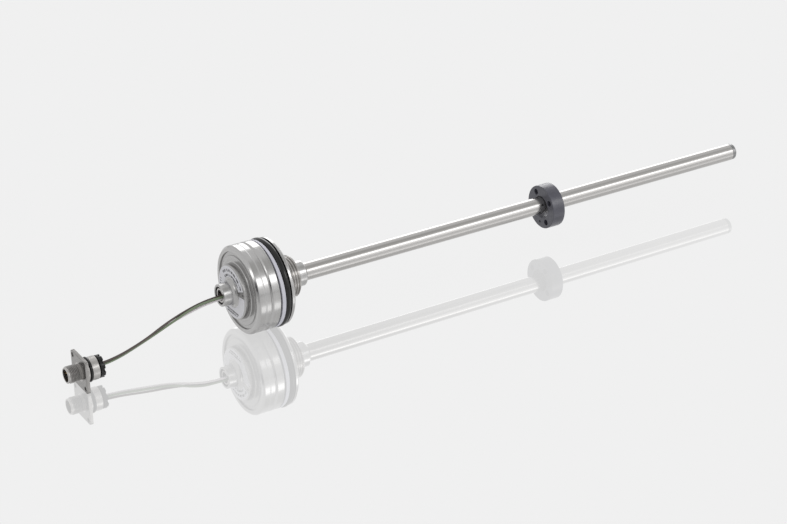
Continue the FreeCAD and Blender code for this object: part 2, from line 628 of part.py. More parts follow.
contact_insert = turned("contact_insert", [
    (INSERT_FACE, "0"),
    (INSERT_FACE, "socket_radius - insert_fit"),
    ("rear_bore_start", "socket_radius - insert_fit"),
    ("rear_bore_start", "rear_bore_radius - insert_fit"),
    (INSERT_STEP, "rear_bore_radius - insert_fit"),
    (INSERT_STEP, "insert_tail_radius"),
    ("insert_tail_end", "insert_tail_radius"),
    ("insert_tail_end", "0"),
], CONNECTOR)
contact_sketch = new_sketch(contact_insert, "YZ_Plane", "contact_hole", INSERT_FACE)
add_circle(contact_sketch, "contact_circle_radius", "0", "contact_radius + contact_fit")
contact_hole = pocket(contact_insert, contact_sketch, "contact_root", "contact_hole_cut", reverse=True)
repeat_round(contact_insert, contact_hole, "4", "contact_holes")
for number in range(1, 5):
    angle = "(%d)" % (90 * (number - 1))
    turned("contact_pin_%d" % number, [
        ("-barrel_length + contact_drop", "0"),
        ("-barrel_length + contact_drop", "contact_radius", "Chamfer", "contact_bevel"),
        (INSERT_FACE + " + contact_root", "contact_radius"),
        (INSERT_FACE + " + contact_root", "0"),
    ], (CONNECTOR[0], CONNECTOR[1] + " + contact_circle_radius * cos(%s)" % angle,
        CONNECTOR[2] + " + contact_circle_radius * sin(%s)" % angle))

connector_clip_ring = turned("connector_clip_ring", [
    (INSERT_STEP, "clip_bore_radius"),
    (INSERT_STEP, "rear_bore_radius - insert_fit"),
    (TAIL_END + " + clip_gap", "rear_bore_radius - insert_fit"),
    (TAIL_END + " + clip_gap", "clip_radius"),
    ("clip_end", "clip_radius"),
    ("clip_end", "clip_bore_radius"),
], CONNECTOR)
notch_sketch = new_sketch(connector_clip_ring, "YZ_Plane", "notch_outline", "clip_end")
add_polygon(notch_sketch, [
    ("-notch_width / 2", "notch_floor_radius"),
    ("notch_width / 2", "notch_floor_radius"),
    ("notch_width / 2", "clip_radius + notch_depth"),
    ("-notch_width / 2", "clip_radius + notch_depth"),
])
notch = pocket(connector_clip_ring, notch_sketch, "notch_depth", "notch_cut")
repeat_round(connector_clip_ring, notch, "notch_count", "notches")

# Wires
# Each wire leaves the grommet level, sags to the connector and enters it level. The points are
# (x, y, z); the first lies on the grommet's face and the last on the insert's rear face.
WIRE_START = size("grommet_drop") - size("housing_length") - size("nozzle_length")
WIRE_END = size("insert_tail_end") - size("connector_place")
ROUTES = {
    "wire_brown": [(WIRE_START, -1.3, 0.5), (-49.0, -1.3, 0.5), (-64.0, -1.15, -2.05), (-84.0, -3.15, -7.15),
                   (-104.0, -8.85, -12.55), (-129.0, -11.6, -18.2), (WIRE_END, -11.6, -18.2)],
    "wire_green": [(WIRE_START, -3.0, 0.15), (-49.0, -3.0, 0.15), (-64.0, -3.75, -1.2), (-84.0, -4.0, -9.1),
                   (-104.0, -7.8, -14.05), (-129.0, -11.45, -19.9), (WIRE_END, -11.45, -19.9)],
    "wire_white": [(WIRE_START, -2.55, -1.5), (-49.0, -2.55, -1.5), (-64.0, -3.1, -3.65), (-84.0, -2.35, -9.75),
                   (-104.0, -6.25, -14.9), (-129.0, -9.75, -20.25), (WIRE_END, -9.75, -20.25)],
}


def cord(label, points, radius):
    """A round cord along straight runs that are joined by tangent arcs."""
    points = [Vector(*point) for point in points]
    edges = []
    radii = []
    start = points[0]
    for before, corner, after in zip(points, points[1:], points[2:]):
        run_in = corner - before
        run_out = after - corner
        turn = run_in.getAngle(run_out)
        reach = 0.45 * min(run_in.Length, run_out.Length)
        bend = reach / math.tan(turn / 2)
        run_in.normalize()
        run_out.normalize()
        inward = (run_out - run_in).normalize()
        centre = corner + inward * (bend / math.cos(turn / 2))
        arc_start = corner - run_in * reach
        arc_end = corner + run_out * reach
        edges.append(Part.LineSegment(start, arc_start).toShape())
        edges.append(Part.Arc(arc_start, centre - inward * bend, arc_end).toShape())
        radii.append(round(bend, 1))
        start = arc_end
    edges.append(Part.LineSegment(start, points[-1]).toShape())
    spine = Part.Wire(edges)
    section = Part.Wire(Part.Circle(points[0], points[1] - points[0], radius).toShape())
    item = doc.addObject("Part::Feature", label)
    item.Label = label
    item.Shape = spine.makePipeShell([section], True, False)
    ratio = item.Shape.Volume / (math.pi * radius ** 2 * spine.Length)
    print("%s: %.1f mm long, bends %s, volume %.4f of section x length" % (label, spine.Length, radii, ratio))
    return item


for label, points in ROUTES.items():
    cord(label, points, size("wire_radius"))

# Checks and files
doc.recompute()
for item in doc.Objects:
    if "Invalid" in item.State or "Error" in item.State:
        raise RuntimeError("%s failed: %s" % (item.Name, item.State))

pieces = [item for item in doc.Objects if item.isDerivedFrom("PartDesign::Body")
          or item.TypeId in ("Part::Torus", "Part::Box", "Part::Feature")]
for piece in pieces:
    shape = piece.Shape
    if shape.isNull() or not shape.isValid() or len(shape.Solids) != 1:
        raise RuntimeError("%s isn't one valid solid" % piece.Label)
    shape.exportStep("parts/%s.step" % piece.Label)
print("%d pieces written" % len(pieces))
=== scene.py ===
# %% [markdown]
# # A magnetostrictive position sensor, dressed for its picture
# The sensor measures how far a piston has moved. A steel housing with a sealed flange screws into the
# end of a cylinder, a long rod reaches into the bore, and a ring magnet on the piston slides along it.
# Three thin wires end in a round connector.
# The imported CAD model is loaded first. It gives every size and place, so each piece below is built
# where its CAD solid lies, in metres, with +X along the rod and +Z up.

# %% Load the frame
import math

import bmesh
import bpy
from mathutils import Euler, Matrix, Vector


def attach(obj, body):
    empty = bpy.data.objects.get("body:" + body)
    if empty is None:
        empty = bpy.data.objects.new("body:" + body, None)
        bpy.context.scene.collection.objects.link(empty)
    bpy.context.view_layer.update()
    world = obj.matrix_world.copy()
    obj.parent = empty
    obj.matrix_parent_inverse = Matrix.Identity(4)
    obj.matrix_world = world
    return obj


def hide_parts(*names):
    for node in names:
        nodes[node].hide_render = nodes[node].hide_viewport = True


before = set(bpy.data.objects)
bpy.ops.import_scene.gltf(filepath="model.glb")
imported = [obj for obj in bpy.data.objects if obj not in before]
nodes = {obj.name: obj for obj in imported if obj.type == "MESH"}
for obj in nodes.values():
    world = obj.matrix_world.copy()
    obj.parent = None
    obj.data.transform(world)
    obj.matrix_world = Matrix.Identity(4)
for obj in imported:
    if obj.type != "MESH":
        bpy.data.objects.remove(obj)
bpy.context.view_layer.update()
MM = 0.001


def new_object(name, data):
    """An object in the scene, at the origin, that shows the data."""
    made = bpy.data.objects.new(name, data)
    bpy.context.scene.collection.objects.link(made)
    return made


def new_mesh(name, shape):
    """A mesh from a bmesh, which is freed."""
    mesh = bpy.data.meshes.new(name)
    shape.to_mesh(mesh)
    shape.free()
    return mesh


# %% [markdown]
# ## The camera
# The photograph was taken from the cable side, a little above the sensor, with a long lens. The
# camera's place and turn were worked out from points of the object that are easy to find in it: the
# rim of the housing, the tip of the rod, the magnet and the plate of the connector.

# %% Camera
CAMERA_PLACE = Vector((-588.67, -1138.94, 648.5)) * MM
CAMERA_AZIMUTH = math.radians(31.0206)
CAMERA_DROP = math.radians(26.4336)
CAMERA_ROLL = math.radians(-0.9893)
LENS_MM = 95.04

camera_data = bpy.data.cameras.new("camera")
camera_data.sensor_width = 36
camera_data.lens = LENS_MM
camera_data.clip_start = 0.05
camera_data.clip_end = 20
camera = new_object("camera", camera_data)
turn = Euler((math.pi / 2 - CAMERA_DROP, 0, -CAMERA_AZIMUTH)).to_matrix()
turn = turn @ Matrix.Rotation(CAMERA_ROLL, 3, "Z")
camera.matrix_world = Matrix.Translation(CAMERA_PLACE) @ turn.to_4x4()
bpy.context.scene.camera = camera
bpy.context.scene.view_settings.view_transform = "Standard"
print("camera at", [round(c, 3) for c in camera.location])

# %% [markdown]
# ## Helpers for node materials
# A material is a small network of nodes. `add_node` makes one and sets its inputs, and `link` joins
# two sockets. Numbers that are the same all over a surface go straight on the shader's sockets.

# %% Node helpers
def add_node(tree, kind, inputs=None, **settings):
    """A node of a kind, with settings as attributes and inputs by name or number."""
    node = tree.nodes.new(kind)
    for name, value in settings.items():
        setattr(node, name, value)
    for name, value in (inputs or {}).items():
        node.inputs[name].default_value = value
    return node


def link(tree, source, output, target, socket):
    tree.links.new(source.outputs[output], target.inputs[socket])


def empty_tree(owner):
    """The node tree of a material or world, with nothing in it."""
    owner.use_nodes = True
    owner.node_tree.nodes.clear()
    return owner.node_tree


def new_group(name, inputs, outputs):
    """An empty shader node group. Inputs are (name, kind, value), outputs are (name, kind)."""
    group = bpy.data.node_groups.new(name, "ShaderNodeTree")
    for label, kind, value in inputs:
        socket = group.interface.new_socket(name=label, in_out="INPUT", socket_type=kind)
        if value is not None:
            socket.default_value = value
    for label, kind in outputs:
        group.interface.new_socket(name=label, in_out="OUTPUT", socket_type=kind)
    return group, group.nodes.new("NodeGroupInput"), group.nodes.new("NodeGroupOutput")


FLOAT, VECTOR = "NodeSocketFloat", "NodeSocketVector"

# %% [markdown]
# ## Turned marks, drawn lines and grain
# A tool that cuts a turning workpiece leaves fine rings round the axis, both on the round side and on
# the flat end. Noise that is read at (place along the axis, distance from the axis) gives such rings
# for any turned piece, because both numbers stay the same all the way round. A drawn tube has the
# opposite: long lines along its length. Moulded pieces have neither, only a fine grain. A picture of
# scratches would repeat and would need unwrapping, while noise fits any size. Each group puts out a
# height for a Bump node and a tone between 0 and 1 that colours and roughens the piece a little.

# %% Helpers for patterns
def calculate(tree, operation, *values):
    """A Math node. Each value is a number, or the (node, output) it is read from, as is the result."""
    node = add_node(tree, "ShaderNodeMath", operation=operation)
    for number, value in enumerate(values):
        if isinstance(value, tuple):
            link(tree, *value, node, number)
        else:
            node.inputs[number].default_value = value
    return (node, 0)


def distance_from_axis(tree, parts):
    """How far a place lies from the X line. The node given holds the place's separate parts."""
    flat = add_node(tree, "ShaderNodeCombineXYZ")
    distance = add_node(tree, "ShaderNodeVectorMath", operation="LENGTH")
    link(tree, parts, "Y", flat, "Y")
    link(tree, parts, "Z", flat, "Z")
    link(tree, flat, 0, distance, 0)
    return (distance, "Value")


def read_noise(tree, spot, output, out, fine, broad):
    """Two noises read at one place: the fine one gives the Height, the broad one the Tone."""
    noises = []
    for inputs, result in ((fine, "Height"), (broad, "Tone")):
        noise = add_node(tree, "ShaderNodeTexNoise", inputs)
        link(tree, spot, output, noise, "Vector")
        link(tree, noise, "Fac", out, result)
        noises.append(noise)
    return noises


# %% Node groups for the patterns
def build_turned_group():
    """Fine rings about a line along X that passes through the group's Axis point."""
    group, given, out = new_group(
        "turned_rings",
        [("Axis", VECTOR, None), ("Rings per Metre", FLOAT, 2500.0), ("Wander", FLOAT, 4.0)],
        [("Height", FLOAT), ("Tone", FLOAT)],
    )
    place = add_node(group, "ShaderNodeTexCoord")
    from_axis = add_node(group, "ShaderNodeVectorMath", operation="SUBTRACT")
    parts = add_node(group, "ShaderNodeSeparateXYZ")
    spot = add_node(group, "ShaderNodeCombineXYZ")
    link(group, place, "Object", from_axis, 0)
    link(group, given, "Axis", from_axis, 1)
    link(group, from_axis, "Vector", parts, 0)
    rings = (given, "Rings per Metre")
    link(group, *calculate(group, "MULTIPLY", (parts, "X"), rings), spot, "X")
    link(group, *calculate(group, "MULTIPLY", distance_from_axis(group, parts), rings), spot, "Y")
    link(group, *calculate(group, "MULTIPLY", (parts, "Y"), (given, "Wander")), spot, "Z")
    read_noise(group, spot, 0, out, {"Scale": 1.0, "Detail": 3.0, "Roughness": 0.65},
               {"Scale": 0.11, "Detail": 2.0, "Roughness": 0.5})
    return group


def build_drawn_group():
    """Long lines along X, as a drawn and polished tube has."""
    group, given, out = new_group(
        "drawn_lines",
        [("Lines per Metre", FLOAT, 3000.0), ("Stretch", FLOAT, 60.0)],
        [("Height", FLOAT), ("Tone", FLOAT)],
    )
    place = add_node(group, "ShaderNodeTexCoord")
    parts = add_node(group, "ShaderNodeSeparateXYZ")
    spot = add_node(group, "ShaderNodeCombineXYZ")
    link(group, place, "Object", parts, 0)
    for part, factor in (("X", "Stretch"), ("Y", "Lines per Metre"), ("Z", "Lines per Metre")):
        link(group, *calculate(group, "MULTIPLY", (parts, part), (given, factor)), spot, part)
    read_noise(group, spot, 0, out, {"Scale": 1.0, "Detail": 3.0, "Roughness": 0.6},
               {"Scale": 0.2, "Detail": 2.0, "Roughness": 0.5})
    return group


def build_grain_group():
    """Fine grain and soft clouds for moulded, sintered and rubber pieces."""
    group, given, out = new_group(
        "moulded_grain",
        [("Grains per Metre", FLOAT, 2500.0), ("Clouds per Metre", FLOAT, 90.0)],
        [("Height", FLOAT), ("Tone", FLOAT)],
    )
    place = add_node(group, "ShaderNodeTexCoord")
    fine, broad = read_noise(group, place, "Object", out, {"Detail": 4.0, "Roughness": 0.6},
                             {"Detail": 3.0, "Roughness": 0.55})
    link(group, given, "Grains per Metre", fine, "Scale")
    link(group, given, "Clouds per Metre", broad, "Scale")
    return group


TURNED = build_turned_group()
DRAWN = build_drawn_group()
GRAIN = build_grain_group()
print("node groups:", TURNED.name, DRAWN.name, GRAIN.name)

# %% [markdown]
# ## One recipe for every finish
# Each finish starts from the same network: a pattern group, a colour ramp and a roughness range that
# its tone drives, a Bump node that its height drives, and one Principled BSDF. Only the values differ,
# from satin steel to rubber.

# %% The finish recipe
TONE_ENDS = (0.25, 0.75)


def add_marks(tree, pattern, shader, rough, bump):
    """Let a pattern's tone drive a shader's roughness, and its height the bump."""
    rougher = add_node(tree, "ShaderNodeMapRange", {"To Min": rough[0], "To Max": rough[1]})
    relief = add_node(tree, "ShaderNodeBump", {"Strength": bump[0], "Distance": bump[1]})
    link(tree, pattern, "Tone", rougher, "Value")
    link(tree, pattern, "Height", relief, "Height")
    link(tree, rougher, "Result", shader, "Roughness")
    link(tree, relief, "Normal", shader, "Normal")


def finish_material(name, group, dark, light, rough, bump, metallic=0.0, group_inputs=None, **sockets):
    """A procedural material. dark and light are the ends of its colour, rough the ends of its
    roughness, and bump is (strength, distance in metres)."""
    material = bpy.data.materials.new(name)
    tree = empty_tree(material)
    out = add_node(tree, "ShaderNodeOutputMaterial")
    shader = add_node(tree, "ShaderNodeBsdfPrincipled", {"Metallic": metallic})
    for socket, value in sockets.items():
        shader.inputs[socket.replace("_", " ")].default_value = value
    pattern = add_node(tree, "ShaderNodeGroup", node_tree=group)
    for socket, value in (group_inputs or {}).items():
        pattern.inputs[socket].default_value = value
    ramp = add_node(tree, "ShaderNodeValToRGB")
    for stop, position, colour in zip(ramp.color_ramp.elements, TONE_ENDS, (dark, light)):
        stop.position = position
        stop.color = (*colour, 1)
    link(tree, pattern, "Tone", ramp, "Fac")
    link(tree, ramp, "Color", shader, "Base Color")
    add_marks(tree, pattern, shader, rough, bump)
    link(tree, shader, 0, out, "Surface")
    return material


def turned_metal(name, dark, light, rough, bump, rings, axis=(0, 0, 0)):
    """A metal with so many turned rings per metre, about a line along X through the axis point."""
    return finish_material(name, TURNED, dark, light, rough, bump, metallic=1.0,
                           group_inputs={"Rings per Metre": rings, "Axis": axis})


def grey(value, warm=0.0):
    """A linear grey, a little warmer or cooler than neutral."""
    return (value * (1 + warm), value, value * (1 - warm))


# %% [markdown]
# ## The finishes
# The housing, its flange and the boss are turned from stainless steel with a satin cut. The rod is a
# drawn tube, with streaks along its length, and the plug welded into its tip is duller. The connector
# is nickel plated. The seals are black rubber with a pale back-up ring, the magnet is a dark
# plastic-bound ferrite whose bore is painted paler, as painted light in the bore, and the wires have
# thin smooth insulation. The numbers are two colours, two roughness values, and the strength and depth
# of the marks.

# %% Finishes
CONNECTOR_PLACE = (-152.8, -10.8, -20.4)
CONNECTOR_AXIS = Vector((0, *CONNECTOR_PLACE[1:])) * MM

SATIN_STEEL = turned_metal(
    "satin_turned_steel", grey(0.43, 0.012), grey(0.50, 0.008), (0.16, 0.22), (0.4, 0.00004), rings=2600.0)
FACED_STEEL = turned_metal(
    "faced_steel", grey(0.39, 0.012), grey(0.46, 0.008), (0.20, 0.28), (0.35, 0.00004), rings=3000.0)
THREAD_STEEL = turned_metal(
    "threaded_steel", grey(0.38, 0.03), grey(0.46, 0.025), (0.12, 0.2), (0.2, 0.00003), rings=3200.0)
ROD_STEEL = finish_material(
    "drawn_tube_steel", DRAWN, grey(0.43, 0.025), grey(0.49, 0.02), (0.16, 0.24), (0.15, 0.00003),
    metallic=1.0, group_inputs={"Lines per Metre": 2600.0, "Stretch": 25.0})
WELDED_STEEL = turned_metal(
    "dull_welded_steel", grey(0.22, -0.01), grey(0.34), (0.26, 0.36), (0.4, 0.00005), rings=1800.0)
NICKEL = turned_metal(
    "satin_nickel", grey(0.42, 0.03), grey(0.50, 0.025), (0.24, 0.34), (0.2, 0.00003), rings=3500.0,
    axis=CONNECTOR_AXIS)
# Painted shade: a darker copy of the nickel, for the plate and the barrel thread beside it.
SHADED_NICKEL = turned_metal(
    "dull_nickel", grey(0.24, 0.03), grey(0.33, 0.025), (0.22, 0.32), (0.25, 0.00003), rings=3500.0,
    axis=CONNECTOR_AXIS)
RUBBER = finish_material(
    "black_seal_rubber", GRAIN, grey(0.007), grey(0.012), (0.11, 0.17), (0.06, 0.00003),
    Specular_IOR_Level=0.35)
BACKUP_WHITE = finish_material(
    "backup_ring_plastic", GRAIN, (0.53, 0.53, 0.59), (0.61, 0.61, 0.67), (0.38, 0.5), (0.1, 0.00004))
MAGNET_BLACK = finish_material(
    "bound_ferrite", GRAIN, (0.052, 0.052, 0.066), (0.072, 0.072, 0.09), (0.23, 0.3), (0.3, 0.00004),
    group_inputs={"Grains per Metre": 3500.0, "Clouds per Metre": 120.0})
# Painted light: a paler copy of the ferrite for the bore faces, lighter than the shade inside the bore
# leaves them.
BORE_PAINTED_LIGHT = finish_material(
    "polished_magnet_bore", GRAIN, (0.2, 0.2, 0.22), (0.26, 0.26, 0.29), (0.2, 0.26), (0.1, 0.00003))
CLIP_BLACK = finish_material(
    "glossy_black_plastic", GRAIN, grey(0.004), grey(0.008), (0.12, 0.2), (0.1, 0.00003),
    Specular_IOR_Level=0.35)
INSERT_BLACK = finish_material(
    "contact_insert_plastic", GRAIN, grey(0.018), grey(0.03), (0.4, 0.5), (0.2, 0.00004))
GOLD = finish_material(
    "contact_gold", GRAIN, (0.42, 0.28, 0.11), (0.52, 0.36, 0.16), (0.2, 0.3), (0.05, 0.00002), metallic=1.0)
GROMMET_GREY = finish_material(
    "grommet_rubber", GRAIN, grey(0.02), grey(0.035), (0.5, 0.6), (0.2, 0.00004))
COPPER = finish_material(
    "enamelled_copper", DRAWN, (0.45, 0.18, 0.08), (0.6, 0.26, 0.12), (0.25, 0.35), (0.1, 0.00002),
    metallic=1.0)
BOARD_GREEN = finish_material(
    "circuit_board", GRAIN, (0.01, 0.10, 0.04), (0.015, 0.14, 0.06), (0.35, 0.45), (0.1, 0.00002))
INNER_PLASTIC = finish_material(
    "inner_plastic", GRAIN, grey(0.45, 0.05), grey(0.52, 0.04), (0.4, 0.5), (0.2, 0.00004))
WIRE_BROWN = finish_material(
    "brown_insulation", GRAIN, (0.062, 0.045, 0.040), (0.085, 0.062, 0.055), (0.3, 0.4), (0.1, 0.00003))
WIRE_GREEN = finish_material(
    "green_insulation", GRAIN, (0.155, 0.20, 0.125), (0.19, 0.24, 0.15), (0.3, 0.4), (0.1, 0.00003))
WIRE_WHITE = finish_material(
    "white_insulation", GRAIN, (0.62, 0.58, 0.60), (0.70, 0.66, 0.68), (0.3, 0.4), (0.1, 0.00003))
print("finishes:", len(bpy.data.materials))

# %% [markdown]
# ## Finishes for the CAD nodes
# Each CAD node gets the finish of what it is made of, the hidden ones too. The pieces that are
# modelled again further down hide their node later. The contacts, their insert and the grommet stay
# CAD nodes, so a bevel modifier softens their edges.

# %% Assign finishes
SOFT_EDGE = 0.15
SOFTENED = ("contact_insert", "wire_grommet")
NODE_FINISH = {
    "pressure_flange": SATIN_STEEL, "housing_sleeve": SATIN_STEEL, "rear_cover": FACED_STEEL,
    "outlet_sleeve": NICKEL, "wire_grommet": GROMMET_GREY, "flange_o_ring": RUBBER,
    "backup_ring": BACKUP_WHITE, "housing_seal": RUBBER, "rod_tube": ROD_STEEL, "rod_end_plug": ROD_STEEL,
    "waveguide": NICKEL, "waveguide_sleeve": INNER_PLASTIC, "return_conductor": COPPER,
    "damping_element": RUBBER, "electronics_carrier": INNER_PLASTIC, "board_inner": BOARD_GREEN,
    "board_outer": BOARD_GREEN, "coil_bobbin": INNER_PLASTIC, "pickup_coil": COPPER,
    "strain_tape": NICKEL, "bias_magnet": MAGNET_BLACK, "ring_magnet": MAGNET_BLACK,
    "connector_shell": NICKEL, "connector_o_ring": RUBBER, "contact_insert": INSERT_BLACK,
    "connector_clip_ring": CLIP_BLACK,
}
for name, node in nodes.items():
    family = name.rstrip("_1234")
    if name in NODE_FINISH:
        chosen = NODE_FINISH[name]
    elif family == "contact_pin":
        chosen = GOLD
    elif name.startswith("wire_"):
        chosen = WIRE_BROWN
    else:
        chosen = INNER_PLASTIC
    node.data.materials.clear()
    node.data.materials.append(chosen)
    if family == "contact_pin" or name in SOFTENED:
        soft = node.modifiers.new("soft_edges", "BEVEL")
        soft.width = SOFT_EDGE * MM
        soft.segments = 3
        soft.limit_method = "ANGLE"
print("dressed nodes:", len(nodes))

# %% [markdown]
# ## The wires
# Three thin insulated wires leave the nozzle, sag a little and go level into the connector. Each is
# one NURBS curve whose control points are the route of its CAD solid, so it is smooth by itself. The
# curve is given its thickness with a round bevel, which keeps an even section where it bends.

# %% Wires
WIRE_DIAMETER = 1.5 * MM
WIRE_ROUTES = {
    "wire_brown": (WIRE_BROWN, [
        (-37.2, -1.3, 0.5), (-49.0, -1.3, 0.5), (-64.0, -1.15, -2.05), (-84.0, -3.15, -7.15),
        (-104.0, -8.85, -12.55), (-129.0, -11.6, -18.2), (-139.4, -11.6, -18.2)]),
    "wire_green": (WIRE_GREEN, [
        (-37.2, -3.0, 0.15), (-49.0, -3.0, 0.15), (-64.0, -3.75, -1.2), (-84.0, -4.0, -9.1),
        (-104.0, -7.8, -14.05), (-129.0, -11.45, -19.9), (-139.4, -11.45, -19.9)]),
    "wire_white": (WIRE_WHITE, [
        (-37.2, -2.55, -1.5), (-49.0, -2.55, -1.5), (-64.0, -3.1, -3.65), (-84.0, -2.35, -9.75),
        (-104.0, -6.25, -14.9), (-129.0, -9.75, -20.25), (-139.4, -9.75, -20.25)]),
}
STEPS_PER_POINT = 16


def insulated_wire(name, finish, route):
    """A free wire along its route, as one NURBS spline with a round section."""
    curve = bpy.data.curves.new(name, "CURVE")
    curve.dimensions = "3D"
    curve.resolution_u = STEPS_PER_POINT
    curve.render_resolution_u = STEPS_PER_POINT
    curve.bevel_depth = WIRE_DIAMETER / 2
    curve.bevel_resolution = 5
    curve.use_fill_caps = True
    spline = curve.splines.new("NURBS")
    spline.points.add(len(route) - 1)
    for point, spot in zip(spline.points, route):
        point.co = (*(Vector(spot) * MM), 1)
    spline.order_u = 3
    spline.use_endpoint_u = True
    curve.materials.append(finish)
    return new_object(name, curve)


wires = {}
for name, (finish, route) in WIRE_ROUTES.items():
    wires[name] = insulated_wire(name + "_lead", finish, route)
    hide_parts(name)
    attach(wires[name], "sensor")
print("wires:", sorted(wires))

# %% [markdown]
# ## A small lathe
# Nearly every piece of the sensor is turned from bar, so one helper makes them all. It lays half of a
# piece's outline as a wire of a few corners, rounds the corners that ask for it with a vertex bevel, and
# spins the wire about the axis. A stack of cylinders would be quicker to lay, but its edges would be
# sharp. No real corner is perfectly sharp, and the small rounding is what catches a thin line of light.
# From here on sizes are in mm: a station along X from the mounting face, and a radius from the axis.

# %% Wires of corners
WELD = 0.002 * MM
TINY = 1e-7


def join_corners(shape, corners, closed):
    """An edge from each corner to the next, and one back to the first where the wire is closed."""
    following = corners[1:] + corners[:1] if closed else corners[1:]
    for here, there in zip(corners, following):
        shape.edges.new((here, there))


def round_corner(shape, corner, size, segments):
    """Round one corner of a wire. The size is in mm."""
    bmesh.ops.bevel(shape, geom=[corner], offset=size * MM, offset_type="OFFSET", segments=segments,
                    profile=0.5, affect="VERTICES", clamp_overlap=True, material=-1)


def round_edges(shape, edges, size, segments):
    """Round edges of a solid. The size is in mm."""
    bmesh.ops.bevel(shape, geom=edges, offset=size * MM, offset_type="OFFSET", segments=segments,
                    profile=0.5, affect="EDGES", clamp_overlap=True, material=-1)


def vertices_of(geometry):
    """The vertices among what an operator gave back."""
    return [item for item in geometry if isinstance(item, bmesh.types.BMVert)]


# %% Lathe
FULL_TURN = 2 * math.pi


def lathe(outline, steps=144, sweep=FULL_TURN):
    """A bmesh turned about X. Corners are (station, radius) in mm, and a third number rounds one."""
    shape = bmesh.new()
    corners = [shape.verts.new((corner[0] * MM, 0, corner[1] * MM)) for corner in outline]
    join_corners(shape, corners, closed=outline[0][1] > 0)
    for corner, numbers in zip(corners, outline):
        if len(numbers) > 2:
            round_corner(shape, corner, numbers[2], segments=4)
    full = sweep == FULL_TURN
    bmesh.ops.spin(shape, geom=shape.verts[:] + shape.edges[:], cent=(0, 0, 0), axis=(1, 0, 0),
                   dvec=(0, 0, 0), angle=sweep, steps=steps, use_merge=full, use_normal_flip=False,
                   use_duplicate=False)
    bmesh.ops.remove_doubles(shape, verts=shape.verts, dist=WELD)
    if not full:
        open_ends = [edge for edge in shape.edges if edge.is_boundary]
        bmesh.ops.holes_fill(shape, edges=open_ends, sides=0)
    return shape


# %% From a shape to a piece
CREASE = 28


def finish_piece(shape, name, finish, body="sensor", stands_for=(), place=(0, 0, 0), crease=CREASE):
    """Turn a bmesh into a piece: faces outwards, smooth round sides, crisp corners, and its place.

    The normals are weighted by area, so a rounded edge doesn't bend the light on the flat beside it."""
    bmesh.ops.translate(shape, verts=shape.verts, vec=Vector(place) * MM)
    bmesh.ops.recalc_face_normals(shape, faces=shape.faces)
    for face in shape.faces:
        face.smooth = True
    for edge in shape.edges:
        edge.smooth = edge.calc_face_angle(0) < math.radians(crease)
    mesh = new_mesh(name, shape)
    mesh.materials.append(finish)
    piece = new_object(name, mesh)
    even = piece.modifiers.new("even_normals", "WEIGHTED_NORMAL")
    even.keep_sharp = True
    if stands_for:
        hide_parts(*stands_for)
    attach(piece, body)
    print(name, "faces:", len(mesh.polygons))
    return piece


# %% [markdown]
# ## Screw threads
# A thread is one ridge that climbs round the axis. The outline of a single ridge, one pitch long, is
# spun while it moves along, so each turn starts where the last one ended. Two cuts trim the ends flat,
# the ends are drawn in towards the axis and bridged, and the first turn is held inside a cone, as the
# lead-in of a real thread is. A bump in the material would be cheaper, but the ridges show in the
# outline of the boss. Depth, flats and rounding are shares of the pitch, as in a metric thread.

# %% Thread
THREAD_DEPTH = 0.6134
RIDGE = ((0.0, False), (0.25, False), (0.5625, True), (0.6875, True), (1.0, False))
RIDGE_ROUNDING = 0.05


def spin_ridge(start, turns, crest, pitch, steps):
    """Turns of one ridge. The first begins a pitch and a half before the start, to be cut off there."""
    root = crest - THREAD_DEPTH * pitch
    shape = bmesh.new()
    corners = []
    for share, high in RIDGE:
        station = start + (share - 1.5) * pitch
        corners.append(shape.verts.new((station * MM, 0, (crest if high else root) * MM)))
    join_corners(shape, corners, closed=False)
    for corner in corners[1:4]:
        round_corner(shape, corner, RIDGE_ROUNDING * pitch, segments=2)
    bmesh.ops.spin(shape, geom=shape.verts[:] + shape.edges[:], cent=(0, 0, 0), axis=(1, 0, 0),
                   dvec=(pitch * MM / steps, 0, 0), angle=FULL_TURN * turns, steps=steps * turns,
                   use_merge=False, use_normal_flip=False, use_duplicate=False)
    bmesh.ops.remove_doubles(shape, verts=shape.verts, dist=WELD)
    return shape


def thread(start, end, crest, pitch, inner, lead_in, steps=96):
    """An outside thread between two stations along X, in mm. lead_in is (station, radius, slope)."""
    shape = spin_ridge(start, math.ceil((end - start) / pitch) + 2, crest, pitch, steps)
    for station, way in ((start, -1), (end, 1)):
        bmesh.ops.bisect_plane(shape, geom=shape.verts[:] + shape.edges[:] + shape.faces[:], dist=TINY,
                               plane_co=(station * MM, 0, 0), plane_no=(way, 0, 0), clear_outer=True)
    station, limit, slope = lead_in
    for vert in shape.verts:
        radius = math.hypot(vert.co.y, vert.co.z)
        past = vert.co.x / MM - station
        allowed = (limit - slope * abs(past)) * MM
        if slope * past > 0 and radius > allowed:
            vert.co.y, vert.co.z = vert.co.y * allowed / radius, vert.co.z * allowed / radius
    rims = [edge for edge in shape.edges if edge.is_boundary]
    drawn = bmesh.ops.extrude_edge_only(shape, edges=rims)["geom"]
    bmesh.ops.scale(shape, vec=(1, inner / crest, inner / crest), verts=vertices_of(drawn))
    bmesh.ops.bridge_loops(shape, edges=[edge for edge in shape.edges if edge.is_boundary])
    return shape


# %% [markdown]
# ## The flange
# The flange carries the whole sensor. Its round side has a wide bevel at the joint, a seal groove with
# a bevelled edge and a narrow lip, and its face carries the M30 x 2 boss and the collar of the rod. The
# inside is hollow for the electronics, as in the CAD solid, so the piece is right from every side. One
# outline holds all of that, as one tool path does on the real one. Only the thread is a mesh of its own.

# %% Flange body with its collar
HOUSING_RADIUS = 31.45
LIP_RADIUS = 31.2
JOINT = -18.9
SPIGOT_RADIUS = 25.95
SPIGOT_GROOVE_RADIUS = 24.75
CAVITY_RADIUS = 22.5
GROOVE_NEAR, GROOVE_FAR, GROOVE_FLOOR = -2.75, -11.08, 26.83
COLLAR_END = 21.9
ROD_SEAT_RADIUS = 6.38

